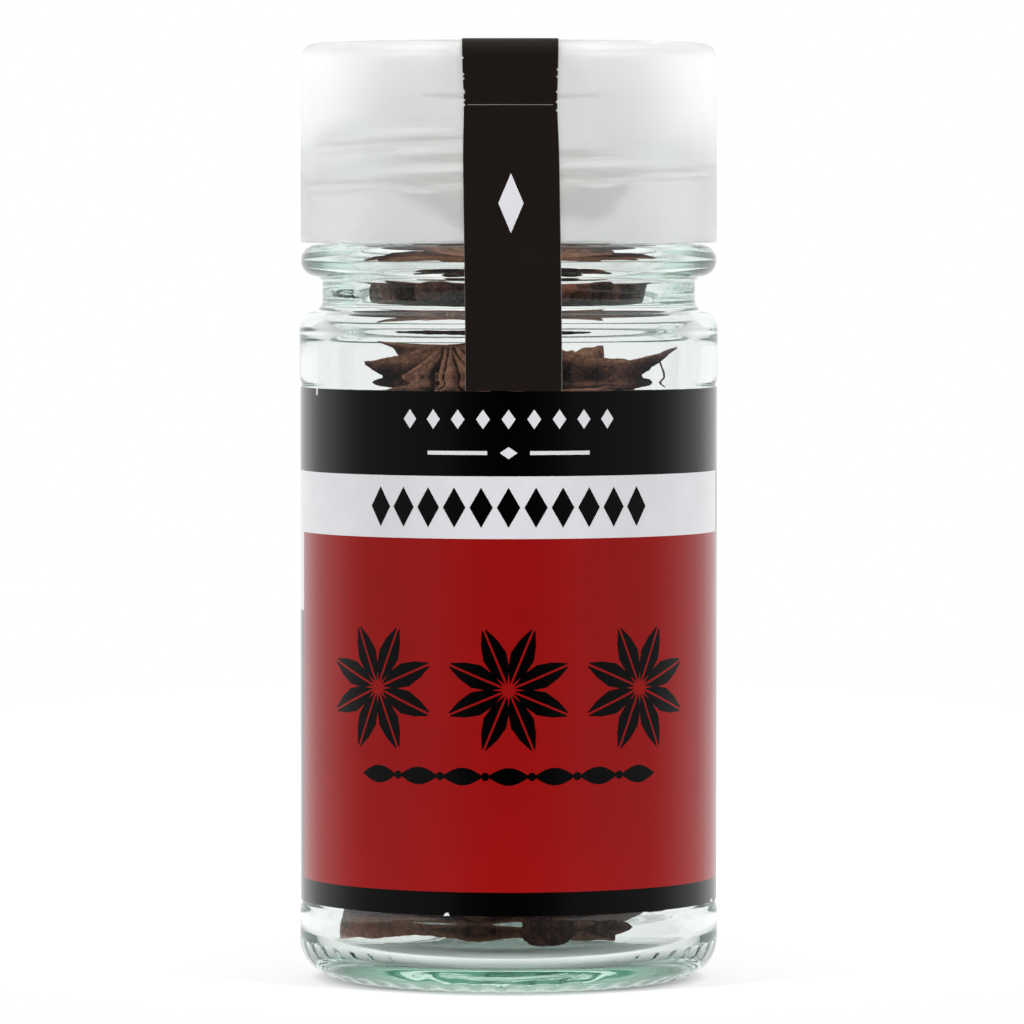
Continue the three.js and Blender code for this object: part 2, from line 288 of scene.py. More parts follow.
class Shader:
    """A material's node tree, with short ways to add and join its nodes."""

    def __init__(self, name: str) -> None:
        """Starts an empty material with an output node."""
        self.material = bpy.data.materials.new(name)
        self.material.use_nodes = True
        self.tree = self.material.node_tree
        self.tree.nodes.clear()
        self.output = self.tree.nodes.new("ShaderNodeOutputMaterial")

    def node(self, kind: str, links: dict[str, Socket] | None = None, **values: object) -> bpy.types.Node:
        """Adds a node.

        Args:
            kind: the node's type, without its ShaderNode prefix.
            links: sockets to join to its inputs, by input name.
            values: input values by name, with spaces as underscores, or settings of the node itself.

        Returns:
            The new node.
        """
        made = self.tree.nodes.new("ShaderNode" + kind)
        for name, value in values.items():
            socket = made.inputs.get(name.replace("_", " "))
            if socket is None:
                setattr(made, name, value)
            else:
                socket.default_value = value
        for name, source in (links or {}).items():
            self.tree.links.new(source, made.inputs[name])
        return made

    def where(self) -> Socket:
        """The place on the object, in metres, which holds still when the object moves."""
        return self.node("TexCoord").outputs["Object"]

    def away(self) -> Socket:
        """The distance from the object's origin, in metres."""
        return self.node("VectorMath", {"Vector": self.where()}, operation="LENGTH").outputs["Value"]

    def noise(self, scale: float, detail: float = 3.0, rough: float = 0.5) -> Socket:
        """Cloudy noise from 0 to 1.

        Args:
            scale: cells in a metre.
            detail: how many finer layers it has.
            rough: how strong the finer layers are.

        Returns:
            The noise's value.
        """
        made = self.node("TexNoise", {"Vector": self.where()}, Scale=scale, Detail=detail, Roughness=rough)
        return made.outputs["Fac"]

    def ramp(self, source: Socket, stops: Sequence[tuple[float, Colour]]) -> Socket:
        """A colour for each value of a source.

        Args:
            source: the value to read.
            stops: places from 0 to 1 with their linear colours.

        Returns:
            The colour.
        """
        made = self.node("ValToRGB", {"Fac": source})
        elements = made.color_ramp.elements
        for i, (place, colour) in enumerate(stops):
            element = elements[i] if i < len(elements) else elements.new(place)
            element.position = place
            element.color = (*colour, 1.0)
        return made.outputs["Color"]

    def spread(self, source: Socket, low: float, high: float, start: float = 0.0, end: float = 1.0) -> Socket:
        """Stretches a value's range.

        Args:
            source: the value to read.
            low: result at the start of its range.
            high: result at the end of its range.
            start: where its range starts.
            end: where its range ends.

        Returns:
            The new value.
        """
        made = self.node("MapRange", {"Value": source}, From_Min=start, From_Max=end, To_Min=low, To_Max=high)
        return made.outputs["Result"]

    def blend(self, share: Socket, first: Socket | Colour, second: Socket | Colour) -> Socket:
        """Mixes two colours.

        Args:
            share: how much of the second colour shows.
            first: a colour, or a socket that gives one.
            second: a colour, or a socket that gives one.

        Returns:
            The mixed colour.
        """
        made = self.tree.nodes.new("ShaderNodeMix")
        made.data_type = "RGBA"
        self.tree.links.new(share, made.inputs[0])
        for socket, colour in ((made.inputs[6], first), (made.inputs[7], second)):
            if isinstance(colour, tuple):
                socket.default_value = (*colour, 1.0)
            else:
                self.tree.links.new(colour, socket)
        return made.outputs[2]

    def mark(self, name: str) -> Socket:
        """A number that the mesh holds for each of its points."""
        return self.node("Attribute", attribute_name=name).outputs["Fac"]

    def math(self, operation: str, first: Socket, second: Socket | float) -> Socket:
        """Arithmetic on two values.

        Args:
            operation: Blender's name for it, such as ADD.
            first: the first value.
            second: the second value, a socket or a number.

        Returns:
            The result.
        """
        made = self.node("Math", operation=operation)
        self.tree.links.new(first, made.inputs[0])
        if isinstance(second, float):
            made.inputs[1].default_value = second
        else:
            self.tree.links.new(second, made.inputs[1])
        return made.outputs["Value"]

    def bump(self, height: Socket, distance: float) -> Socket:
        """A surface normal that follows a height.

        Args:
            height: the height, from 0 to 1.
            distance: depth of the relief in millimetres.

        Returns:
            The normal.
        """
        return self.node("Bump", {"Height": height}, Strength=1.0, Distance=distance * MM).outputs["Normal"]

    def surface(self, links: dict[str, Socket], **values: object) -> Socket:
        """Adds the principled surface and joins it to the output.

        Args:
            links: sockets to join to its inputs, by input name.
            values: input values by name, with spaces as underscores.

        Returns:
            The surface's shader socket.
        """
        made = self.node("BsdfPrincipled", links, **values)
        self.tree.links.new(made.outputs["BSDF"], self.output.inputs["Surface"])
        return made.outputs["BSDF"]

    def lets_light_through(self, shader: Socket, tint: Colour) -> None:
        """Lets light straight through a clear surface, so that what it holds is lit.

        Args:
            shader: the surface as it is seen.
            tint: the share of each colour that passes.
        """
        clear = self.node("BsdfTransparent", Color=(*tint, 1.0)).outputs["BSDF"]
        for kind in ("Is Diffuse Ray", "Is Shadow Ray"):
            mixed = self.node("MixShader", {"Fac": self.node("LightPath").outputs[kind]})
            self.tree.links.new(shader, mixed.inputs[1])
            self.tree.links.new(clear, mixed.inputs[2])
            shader = mixed.outputs["Shader"]
        self.tree.links.new(shader, self.output.inputs["Surface"])


@dataclass(frozen=True)
class GlassFinish:
    """Clear container glass, whose green tint shows where the light travels far in it.

    Attributes:
        ior: how strongly it bends light.
        roughness: how much it blurs light.
        grain: depth of the mould grain, in mm.
        stipple: depth of the stipple under the hollow base, in mm.
        stipple_height: the stipple stays below this height.
        stipple_reach: the stipple stays inside this distance from the origin.
        taken: how fast each colour fades in the glass, for each metre.
        shadow: share of each colour that goes straight through.
    """

    ior: float = 1.5
    roughness: float = 0.015
    grain: float = 0.004
    stipple: float = 0.12
    stipple_height: float = 2.5
    stipple_reach: float = 16.4
    taken: Colour = (11.5, 4.0, 7.0)
    shadow: Colour = (0.93, 0.96, 0.95)

    def build(self, name: str) -> bpy.types.Material:
        """Makes the material, with a very faint mould grain and a stippled base."""
        shader = Shader(name)
        grain = shader.noise(900.0, 2.0)
        reach = self.stipple_reach
        near = shader.spread(shader.away(), 1.0, 0.0, (reach - 1.0) * MM, reach * MM)
        height = shader.node("SeparateXYZ", {"Vector": shader.where()}).outputs["Z"]
        low = shader.spread(height, 1.0, 0.0, self.stipple_height * 0.8 * MM, self.stipple_height * MM)
        stippled = shader.math("MULTIPLY", near, low)
        stipple = shader.math("MULTIPLY", shader.noise(1500.0, 3.0, 0.6), stippled)
        grain = shader.math("MULTIPLY", grain, self.grain / self.stipple)
        relief = shader.bump(shader.math("ADD", grain, stipple), self.stipple)
        seen = shader.surface({"Normal": relief}, Base_Color=(1.0, 1.0, 1.0, 1.0), Roughness=self.roughness,
                              IOR=self.ior, Transmission_Weight=1.0)
        shader.lets_light_through(seen, self.shadow)
        density = max(self.taken) * 1.05
        kept = tuple(1 - share / density for share in self.taken)
        volume = shader.node("VolumeAbsorption", Color=(*kept, 1.0), Density=density)
        shader.tree.links.new(volume.outputs["Volume"], shader.output.inputs["Volume"])
        return shader.material


@dataclass(frozen=True)
class FrostedFinish:
    """Natural polypropylene: milky, with what lies behind it blurred.

    Attributes:
        colour: the plastic's colour.
        ior: how strongly it bends light.
        roughness: how much it blurs light.
        clear: share of the clear part that lets light through.
        milk: share of milky scatter.
        grain: depth of the surface's grain, in mm.
        shadow: share of each colour that goes straight through.
    """

    colour: Colour = (0.985, 0.985, 0.985)
    ior: float = 1.49
    roughness: float = 0.2
    clear: float = 0.72
    milk: float = 0.3
    grain: float = 0.012
    shadow: Colour = (0.95, 0.95, 0.95)

    def build(self, name: str) -> bpy.types.Material:
        """Makes the material from a rough clear surface and a share of milky scatter."""
        shader = Shader(name)
        relief = shader.bump(shader.noise(2600.0, 3.0), self.grain)
        clear = shader.node("BsdfPrincipled", {"Normal": relief}, Base_Color=(*self.colour, 1.0),
                            Roughness=self.roughness, IOR=self.ior, Transmission_Weight=self.clear)
        milky = shader.node("BsdfTranslucent", {"Normal": relief}, Color=(*self.colour, 1.0))
        mixed = shader.node("MixShader", Fac=self.milk)
        shader.tree.links.new(clear.outputs["BSDF"], mixed.inputs[1])
        shader.tree.links.new(milky.outputs["BSDF"], mixed.inputs[2])
        shader.lets_light_through(mixed.outputs["Shader"], self.shadow)
        return shader.material


@dataclass(frozen=True)
class PrintFinish:
    """Ink on coated paper: a smooth colour with faint mottle under a soft gloss.

    Attributes:
        colour: the ink's colour.
        mottle: share by which the colour varies.
        roughness: how dull its gloss is.
        grain: depth of the paper's grain, in mm.
        shine: strength of its gloss.
    """

    colour: Colour
    mottle: float = 0.03
    roughness: float = 0.13
    grain: float = 0.004
    shine: float = 0.5

    def build(self, name: str) -> bpy.types.Material:
        """Makes the material."""
        shader = Shader(name)
        cloud = shader.noise(260.0, 4.0)
        fibre = shader.noise(3200.0, 4.0, 0.6)
        dark = tuple(c * (1 - self.mottle) for c in self.colour)
        light = tuple(min(1.0, c * (1 + self.mottle)) for c in self.colour)
        colour = shader.ramp(cloud, [(0.3, dark), (0.7, light)])
        gloss = shader.spread(cloud, self.roughness * 0.9, self.roughness * 1.12, 0.3, 0.7)
        shader.surface({"Base Color": colour, "Roughness": gloss, "Normal": shader.bump(fibre, self.grain)},
                       Specular_IOR_Level=self.shine)
        return shader.material


@dataclass(frozen=True)
class HuskFinish:
    """Dry star anise husk: dark wrinkled sides, paler rims along each seam and a smooth russet hollow.

    Attributes:
        painted_pit_shade: near-black colour painted into the crust's lowest spots, as painted shade at the
            bottom of its pits.
        dark: colour of its dark patches.
        brown: colour of most of its skin.
        rust: colour of its rusty patches, and of the specks on its raised grain, which are partly wear and
            partly a painted highlight.
        rim: colour of the lips along the seam.
        hollow: colour inside.
        grain: depth of its crust, in mm.
        shine: strength of its gloss.
    """

    painted_pit_shade: Colour = (0.008, 0.006, 0.007)
    dark: Colour = (0.03, 0.018, 0.0185)
    brown: Colour = (0.1, 0.047, 0.04)
    rust: Colour = (0.33, 0.115, 0.06)
    rim: Colour = (0.5, 0.235, 0.15)
    hollow: Colour = (0.2, 0.08, 0.035)
    grain: float = 1.6
    shine: float = 0.26

    def build(self, name: str) -> bpy.types.Material:
        """Makes the material, whose rims and hollows are read from the mesh."""
        shader = Shader(name)
        patch = shader.noise(260.0, 5.0, 0.62)
        speck = shader.noise(2200.0, 4.0, 0.8)
        crust = shader.noise(900.0, 6.0, 0.8)
        side = shader.ramp(patch, [(0.36, self.dark), (0.54, self.brown), (0.68, self.rust)])
        # partly wear, partly painted highlight: rust-coloured specks where the speck noise is high, which
        # also raises the relief
        worn_and_highlight = shader.math("MULTIPLY", shader.spread(speck, 0.0, 1.0, 0.5, 0.62), 0.55)
        side = shader.blend(worn_and_highlight, side, self.rust)
        # painted shade: where the crust relief is low, the colour turns near-black and darkens the pits as
        # shade would
        side = shader.blend(shader.spread(crust, 0.85, 0.0, 0.4, 0.52), side, self.painted_pit_shade)
        rim_share = shader.math("MULTIPLY", shader.mark("rim"), shader.spread(speck, 0.35, 1.0, 0.4, 0.6))
        inner = shader.blend(shader.mark("hollow"), side, self.hollow)
        colour = shader.blend(rim_share, inner, self.rim)
        roughness = shader.spread(shader.mark("hollow"), 0.85, 0.36)
        height = shader.math("ADD", shader.math("MULTIPLY", crust, 0.6), shader.math("MULTIPLY", speck, 0.4))
        relief = shader.bump(height, self.grain)
        shader.surface({"Base Color": colour, "Roughness": roughness, "Normal": relief},
                       Specular_IOR_Level=self.shine)
        return shader.material


@dataclass(frozen=True)
class SeedFinish:
    """A hard glossy seed coat."""

    dark: Colour = (0.06, 0.018, 0.008)
    light: Colour = (0.2, 0.065, 0.02)
    roughness: float = 0.16
    grain: float = 0.03

    def build(self, name: str) -> bpy.types.Material:
        """Makes the material."""
        shader = Shader(name)
        cloud = shader.noise(320.0, 3.0)
        colour = shader.ramp(cloud, [(0.3, self.dark), (0.75, self.light)])
        relief = shader.bump(cloud, self.grain)
        shader.surface({"Base Color": colour, "Normal": relief}, Roughness=self.roughness)
        return shader.material


@dataclass(frozen=True)
class FloorFinish:
    """The plain pale floor, whose own faint glow lets it meet the backdrop without a line; the glow fades out
    under the jar as a painted shadow.

    Attributes:
        colour: the floor's colour.
        glow: how strongly it glows.
        painted_shadow_span: painted shadow, where under the jar the glow fades out between these two
            distances from its axis, in mm.
    """

    colour: Colour = (0.4, 0.4, 0.4)
    glow: float = 0.5
    painted_shadow_span: tuple[float, float] = (18.0, 22.0)

    def build(self, name: str) -> bpy.types.Material:
        """Makes the material."""
        shader = Shader(name)
        cloud = shader.noise(3.0, 2.0)
        pale = tuple(c * 0.99 for c in self.colour)
        colour = shader.ramp(cloud, [(0.2, pale), (0.8, self.colour)])
        # painted shadow: the floor's glow fades to nothing under the jar, so the floor shows dark through the
        # base
        glow = shader.spread(shader.away(), 0.0, self.glow, self.painted_shadow_span[0] * MM, self.painted_shadow_span[1] * MM)
        shader.surface({"Base Color": colour, "Emission Strength": glow}, Roughness=0.8,
                       Emission_Color=(1.0, 1.0, 1.0, 1.0))
        return shader.material


class Ink(Enum):
    """The inks and papers of the label and the seal, with their linear colours."""

    BLACK = (0.0007, 0.0006, 0.0007)
    WHITE = (0.54, 0.536, 0.557)
    RED = (0.212, 0.0043, 0.0041)
    PAPER = (0.55, 0.54, 0.52)
    # painted shade: the label's back is dark grey, standing for the dim light inside the jar
    BACK = (0.06, 0.06, 0.062)
    SEAL = (0.0085, 0.0062, 0.0052)
    EDGE = (0.16, 0.15, 0.145)

    def build(self) -> bpy.types.Material:
        """Makes the ink's material: glossy on the label, satin on the seal."""
        satin = self is Ink.SEAL
        finish = PrintFinish(self.value, roughness=0.5 if satin else 0.13, shine=0.16 if satin else 0.5)
        return finish.build("print_" + self.name.lower())


# ------------------------------------------------------------------ the jar

class Zone(Enum):
    """What a stretch of the jar's profile carries."""

    PLAIN = 0
    KNURL = 1
    THREAD = 2
    WAVES = 3
    FLOOR = 4


@dataclass(frozen=True)
class Helix:
    """A right-handed screw thread as a rise over a wall.

    Attributes:
        start: height where it starts.
        pitch: rise in one turn.
        turns: how many turns it has.
        reach: how far it stands out of the wall.
        crest: half the height of its flat crest.
        root: half its height at the wall.
        runout: share of its length over which each end fades into the wall.
        opening: where it starts, in degrees from +X, so that it ends behind the seal.
    """

    start: float
    pitch: float = 4.2
    turns: float = 1.6
    reach: float = 1.05
    crest: float = 0.3
    root: float = 0.85
    runout: float = 0.11
    opening: float = 54.0

    def rise(self, angles: Array, heights: Array) -> Array:
        """How far the thread stands out of the wall.

        Args:
            angles: angle of each column in radians.
            heights: height of each row.

        Returns:
            The rise for each row and column.
        """
        rise = np.zeros((len(heights), len(angles)))
        for turn in range(math.ceil(self.turns)):
            around = np.mod(angles - math.radians(self.opening), 2 * math.pi)
            travelled = (around / (2 * math.pi) + turn)[None, :]
            ends = np.minimum(travelled, self.turns - travelled) / (self.runout * self.turns)
            away = np.abs(heights[:, None] - self.start - travelled * self.pitch)
            flank = 1 - smoothstep((away - self.crest) / (self.root - self.crest))
            rise = np.maximum(rise, self.reach * flank * smoothstep(ends))
        return rise


@dataclass
class GlassJar:
    """The hollow glass jar: base ring, heel, label panel, shoulder, groove, bead and threaded neck.

    Pairs that give a rounding, a size or a centre are (along the radius, up).

    Attributes:
        push_up: height of the hollow under the base.
        panel_heights: lower and upper edge of the label's panel, which is set in by a step.
        groove_floor: lower and upper end of the groove's straight floor.
        inner_shoulder: where the inner wall is widest and where it has narrowed to the mouth.
        inner_corner: radius between the inner wall and the floor.
        floor_dome: how far the floor rises in the middle.
        knurls: how many knurls the base ring has.
        knurl_depth: how far they rise.
        knurl_span: how far inside the ring's outer edge they start, and how far beyond it they end.
        knurl_fades: the width over which they come in, and over which they go.
        wave_lengths: heights of the waves that blowing leaves in the wall.
        wave_size: the waves' swing as a share of their height, in the body and added at the neck.
        waves_grow: heights between which the neck's share comes in.
        outer_waves: share of the waves that the outer face has.
        ripple_lengths: lengths of the ripples in the base.
        ripple_height: how far each ripple rises.
        columns: points in each ring.
    """

    body_radius: float = 23.0
    ring_inner: float = 16.2
    ring_outer: float = 18.6
    push_up: float = 2.0
    heel_height: float = 4.2
    panel_radius: float = 22.76
    panel_heights: tuple[float, float] = (8.5, 64.95)
    panel_step: float = 1.3
    shoulder: float = 71.0
    shoulder_rounding: tuple[float, float] = (1.35, 2.1)
    groove_radius: float = 20.5
    groove_fillet: float = 1.3
    groove_floor: tuple[float, float] = (74.4, 76.5)
    bead_centre: tuple[float, float] = (21.0, 78.75)
    bead_size: tuple[float, float] = (1.83, 1.78)
    neck_radius: float = 19.7
    neck_bottom: float = 80.8
    rim: float = 96.8
    rim_rounding: float = 0.85
    mouth_radius: float = 17.9
    inner_radius: float = 20.8
    inner_shoulder: tuple[float, float] = (69.5, 77.0)
    inner_corner: float = 2.4
    floor: float = 3.0
    floor_dome: float = 2.3
    knurls: int = 43
    knurl_depth: float = 0.2
    knurl_span: tuple[float, float] = (0.2, 3.0)
    knurl_fades: tuple[float, float] = (0.6, 0.9)
    wave_lengths: tuple[float, ...] = (2.6, 3.7, 5.1, 7.3, 11.0, 16.0)
    wave_size: tuple[float, float] = (0.0009, 0.003)
    waves_grow: tuple[float, float] = (66.0, 72.0)
    outer_waves: float = 0.35
    ripple_lengths: tuple[float, ...] = (2.4, 3.3, 4.6, 6.5, 9.0)
    ripple_height: float = 0.014
    columns: int = 258
    thread: Helix = Helix(start=87.0)

    def floor_at(self, radius: Array | float) -> Array | float:
        """Height of the inner floor at a radius."""
        reach = self.inner_radius - self.inner_corner
        flat = self.floor + self.floor_dome * (1 - smoothstep(np.asarray(radius) / reach))
        over = np.clip(np.asarray(radius) - reach, 0, self.inner_corner - 1e-6)
        return flat + self.inner_corner - np.sqrt(self.inner_corner ** 2 - over ** 2)

    def inner_wall_at(self, height: Array | float) -> Array | float:
        """Radius of the inner wall at a height."""
        low, high = self.inner_shoulder
        share = smoothstep((np.asarray(height) - low) / (high - low))
        return self.inner_radius + (self.mouth_radius - self.inner_radius) * share

    def profile(self) -> list[tuple[Zone, Array]]:
        """The jar's whole section, from under the base, up the outside and back down the inside."""
        reach = np.linspace(0, self.ring_inner, 26)
        hollow = np.column_stack([reach, self.push_up * np.cos(reach / self.ring_inner * math.pi / 2) ** 0.8])
        heel = np.radians(np.linspace(0, 90, 30))
        wide = self.body_radius - self.ring_outer
        heel = np.column_stack([self.ring_outer + wide * np.sin(heel), self.heel_height * (1 - np.cos(heel))])
        low, high = self.panel_heights
        body, panel, step = self.body_radius, self.panel_radius, self.panel_step
        across, up = self.shoulder_rounding
        groove, fillet = self.groove_radius, self.groove_fillet
        neck, mouth = self.neck_radius, self.mouth_radius
        rounding, lip = (self.rim_rounding, self.rim_rounding), self.rim - self.rim_rounding
        widens, narrows = self.inner_shoulder
        inner, corner = self.inner_radius, self.inner_corner
        floor = np.linspace(inner - corner, 0, 40)
        return [
            (Zone.FLOOR, hollow[:-1]),
            (Zone.KNURL, line((self.ring_inner, 0), (self.ring_outer, 0), 10)),
            (Zone.KNURL, heel[1:]),
            (Zone.PLAIN, line((body, self.heel_height + 0.4), (body, low - step - 0.1), 5)),
            (Zone.PLAIN, eased((body, low - step), (panel, low), 5)),
            (Zone.PLAIN, line((panel, low + 0.3), (panel, high - 0.3), 40)),
            (Zone.PLAIN, eased((panel, high), (body, high + step), 5)),
            (Zone.WAVES, line((body, high + step + 0.3), (body, self.shoulder - 0.2), 12)),
            (Zone.WAVES, arc((body - across, self.shoulder), (across, up), (0, 90), 16)),
            (Zone.WAVES, arc((groove + fillet, self.groove_floor[0]), (fillet, fillet), (262, 180), 10)),
            (Zone.WAVES, line((groove, self.groove_floor[0] + 0.4), (groove, self.groove_floor[1]), 6)),
            (Zone.WAVES, arc(self.bead_centre, self.bead_size, (-92, 100), 34)),
            (Zone.THREAD, line((neck, self.neck_bottom), (neck, self.rim - 1.1), 76)),
            (Zone.PLAIN, arc((neck - self.rim_rounding, lip), rounding, (0, 90), 6)),
            (Zone.PLAIN, arc((mouth + self.rim_rounding, lip), rounding, (90, 180), 6)),
            (Zone.WAVES, line((mouth, self.rim - 1.2), (mouth, narrows + 0.3), 60)),
            (Zone.WAVES, eased((mouth, narrows), (inner, widens), 34)),
            (Zone.WAVES, line((inner, widens - 0.3), (inner, self.floor + corner + 0.4), 90)),
            (Zone.WAVES, arc((inner - corner, self.floor + corner), (corner, corner), (0, -88), 14)),
            (Zone.FLOOR, np.column_stack([floor, self.floor_at(floor)])),
        ]

    def waves(self, angles: Array, heights: Array, outside: bool) -> Array:
        """Slow unevenness that blowing leaves in the wall, in rings that wander a little round the jar.

        Args:
            angles: angle of each column in radians.
            heights: height of each row.
            outside: whether the rows lie on the outer face, which the mould keeps truer.

        Returns:
            The shift of the wall for each row and column.
        """
        chance = np.random.default_rng(11 if outside else 12)
        shift = np.zeros((len(heights), len(angles)))
        for length in self.wave_lengths:
            lobes = chance.integers(1, 4)
            tilt, phase = chance.uniform(0, 2 * math.pi, 2)
            swing = 0.3 * np.sin(lobes * angles + tilt)[None, :]
            shift += np.sin(heights[:, None] * 2 * math.pi / length + phase + 2.2 * swing) * length
        low, high = self.waves_grow
        near_neck = smoothstep((heights - low) / (high - low))[:, None]
        size = self.wave_size[0] + self.wave_size[1] * near_neck
        return shift * size * (self.outer_waves if outside else 1.0)

    def ripples(self, angles: Array, radii: Array) -> Array:
        """Shallow ripples of the moulded base.

        Args:
            angles: angle of each column in radians.
            radii: radius of each row.

        Returns:
            The lift for each row and column.
        """
        x, y = radii[:, None] * np.cos(angles), radii[:, None] * np.sin(angles)
        chance = np.random.default_rng(5)
        lift = np.zeros_like(x)
        for length in self.ripple_lengths:
            turn, phase = chance.uniform(0, 2 * math.pi, 2)
            bend = 0.8 * np.sin((x * np.sin(turn) - y * np.cos(turn)) / 3.1 + phase)
            along = x * np.cos(turn) + y * np.sin(turn)
            lift += self.ripple_height * np.sin(along * 2 * math.pi / length + phase + bend)
        edge = smoothstep((self.ring_inner - radii) / 2.0)[:, None]
        return lift * edge

    def build(self) -> bpy.types.Object:
        """Makes the jar as one closed mesh."""
        angles = np.arange(self.columns) * 2 * math.pi / self.columns
        radii, heights = [], []
        rim_passed = False
        for zone, rows in self.profile():
            rim_passed = rim_passed or rows[0, 1] > self.rim - 0.1
            r = np.repeat(rows[:, :1], self.columns, axis=1)
            z = np.repeat(rows[:, 1:], self.columns, axis=1)
            if zone is Zone.WAVES:
                r = r + self.waves(angles, rows[:, 1], not rim_passed)
            elif zone is Zone.THREAD:
                r = r + self.thread.rise(angles, rows[:, 1])
            elif zone is Zone.FLOOR:
                z = z + self.ripples(angles, rows[:, 0])
            elif zone is Zone.KNURL:
                inside, beyond = self.knurl_span
                window = smoothstep((rows[:, 0] - self.ring_outer + inside) / self.knurl_fades[0])
                window = window * smoothstep((self.ring_outer + beyond - rows[:, 0]) / self.knurl_fades[1])
                between = smoothstep(0.5 - 0.85 * np.cos(self.knurls * angles))[None, :]
                z = z + self.knurl_depth * window[:, None] * between
            radii.append(r)
            heights.append(z)
        radii, heights = np.concatenate(radii), np.concatenate(heights)
        radii = np.minimum(radii, self.body_radius)
        body = round_grid(radii[1:-1], heights[1:-1], angles)
        mesh = Mesh()
        mesh.add(*capped(body, self.columns, (heights[0, 0], heights[-1, 0])))
        glass = GlassFinish().build("bottle_glass")
        return mesh.piece("jar_glass", "glass_jar", "clear_glass", [glass], 60.0)


# ------------------------------------------------------------------ the cap

@dataclass
class ScrewCap:
    """The translucent cap: a round-cornered shell with a thread, a stop ring and fine ribs under the roof."""

    radius: float = 22.85
    bottom: float = 80.7
    top: float = 102.5
    corner: float = 1.6
    wall: float = 1.5
    roof: float = 1.4
    ring: tuple[float, float] = (19.0, 20.0)
    ring_bottom: float = 97.1
    ribs: int = 96
    rib_depth: float = 0.05
    columns: int = 384
    thread: Helix = Helix(start=84.9)

    def build(self) -> bpy.types.Object:
        """Makes the cap as one closed mesh."""
        angles = np.arange(self.columns) * 2 * math.pi / self.columns
        under, inner = self.top - self.roof, self.radius - self.wall
        near, far = self.ring
        edge = 0.25
        ceiling = [
            line((0, under), (near - 0.3, under), 12)[1:],
            arc((near - 0.3, under - 0.3), (0.3, 0.3), (90, 0), 3)[1:],
            line((near, under - 0.6), (near, self.ring_bottom + edge), 8),
            arc((near + edge, self.ring_bottom + edge), (edge, edge), (180, 270), 3)[1:],
            arc((far - edge, self.ring_bottom + edge), (edge, edge), (270, 360), 3),
            line((far, self.ring_bottom + edge + 0.2), (far, under - 0.5), 8),
            arc((far + 0.3, under - 0.3), (0.3, 0.3), (180, 90), 3)[1:],
            arc((inner - 0.5, under - 0.5), (0.5, 0.5), (90, 0), 4),
        ]
        skirt = line((inner, under - 0.7), (inner, self.bottom + 0.5), 96)
        outside = [
            arc((inner + edge, self.bottom + edge), (edge, edge), (180, 270), 3),
            arc((self.radius - edge, self.bottom + edge), (edge, edge), (270, 360), 4),
            line((self.radius, self.bottom + 0.6), (self.radius, self.top - self.corner - 0.2), 40),
            arc((self.radius - self.corner, self.top - self.corner), (self.corner, self.corner), (0, 90), 14),
            line((self.radius - self.corner - 0.4, self.top), (0.0, self.top), 14)[:-1],
        ]
        rows = np.concatenate([*ceiling, skirt, *outside])
        radii = np.repeat(rows[:, :1], self.columns, axis=1)
        start = sum(len(part) for part in ceiling)
        on_skirt = slice(start, start + len(skirt))
        ribbed = smoothstep((skirt[:, 1] - self.ring_bottom) / 0.5)[:, None]
        ribs = self.rib_depth * ribbed * (0.5 - 0.5 * np.cos(self.ribs * angles))[None, :]
        radii[on_skirt] -= self.thread.rise(angles, skirt[:, 1]) + ribs
        heights = np.repeat(rows[:, 1:], self.columns, axis=1)
        body = round_grid(radii, heights, angles)
        mesh = Mesh()
        mesh.add(*capped(body, self.columns, (under, self.top)))
        plastic = FrostedFinish().build("frosted_plastic")
        return mesh.piece("cap_shell", "screw_cap", "cap_plastic", [plastic], 50.0)


# ------------------------------------------------------------------ label, seal and their print

Outline = Sequence[tuple[float, float]]


class Motif:
    """Plain shapes for print, as outlines of (distance round the jar, height)."""

    @staticmethod
    def lozenge(x: float, z: float, width: float, height: float) -> Outline:
        """A diamond."""
        return [(x - width / 2, z), (x, z - height / 2), (x + width / 2, z), (x, z + height / 2)]

    @staticmethod
    def bar(x: float, z: float, width: float, height: float) -> Outline:
        """A rectangle."""
        left, right, low, high = x - width / 2, x + width / 2, z - height / 2, z + height / 2
        return [(left, low), (right, low), (right, high), (left, high)]

    @staticmethod
    def dot(x: float, z: float, size: float, sides: int = 20) -> Outline:
        """A round dot of that diameter."""
        turn = [2 * math.pi * k / sides for k in range(sides)]
        return [(x + size / 2 * math.cos(a), z + size / 2 * math.sin(a)) for a in turn]

    @staticmethod
    def leaf(x: float, z: float, length: float, width: float, steps: int = 10) -> Outline:
        """A lens with pointed ends left and right."""
        share = [k / steps for k in range(steps + 1)]
        low = [(x + length * (t - 0.5), z - width / 2 * math.sin(math.pi * t)) for t in share]
        high = [(x + length * (0.5 - t), z + width / 2 * math.sin(math.pi * t)) for t in share[1:-1]]
        return low + high

    @staticmethod
    def star(x: float, z: float, radius: float, points: int = 8, slit: float = 0.035) -> list[Outline]:
        """A pod drawn as a star whose boat-shaped arms are each split by a slit."""
        half = [(0.1, 0.0), (0.3, 0.115), (0.55, 0.17), (0.78, 0.115), (1.0, 0.012)]
        outlines = []
        for k in range(points):
            turn = 2 * math.pi * (k + 0.5) / points
            for side in (1, -1):
                arm = [(along, side * (slit / 2 + across)) for along, across in half]
                arm += [(0.97, side * slit / 2), (0.14, side * slit / 2)]
                flat = [(radius * (a * math.cos(turn) - b * math.sin(turn)),
                         radius * (a * math.sin(turn) + b * math.cos(turn))) for a, b in arm]
                flat = [(x + a, z + b) for a, b in flat]
                outlines.append(flat if side < 0 else flat[::-1])
        return outlines


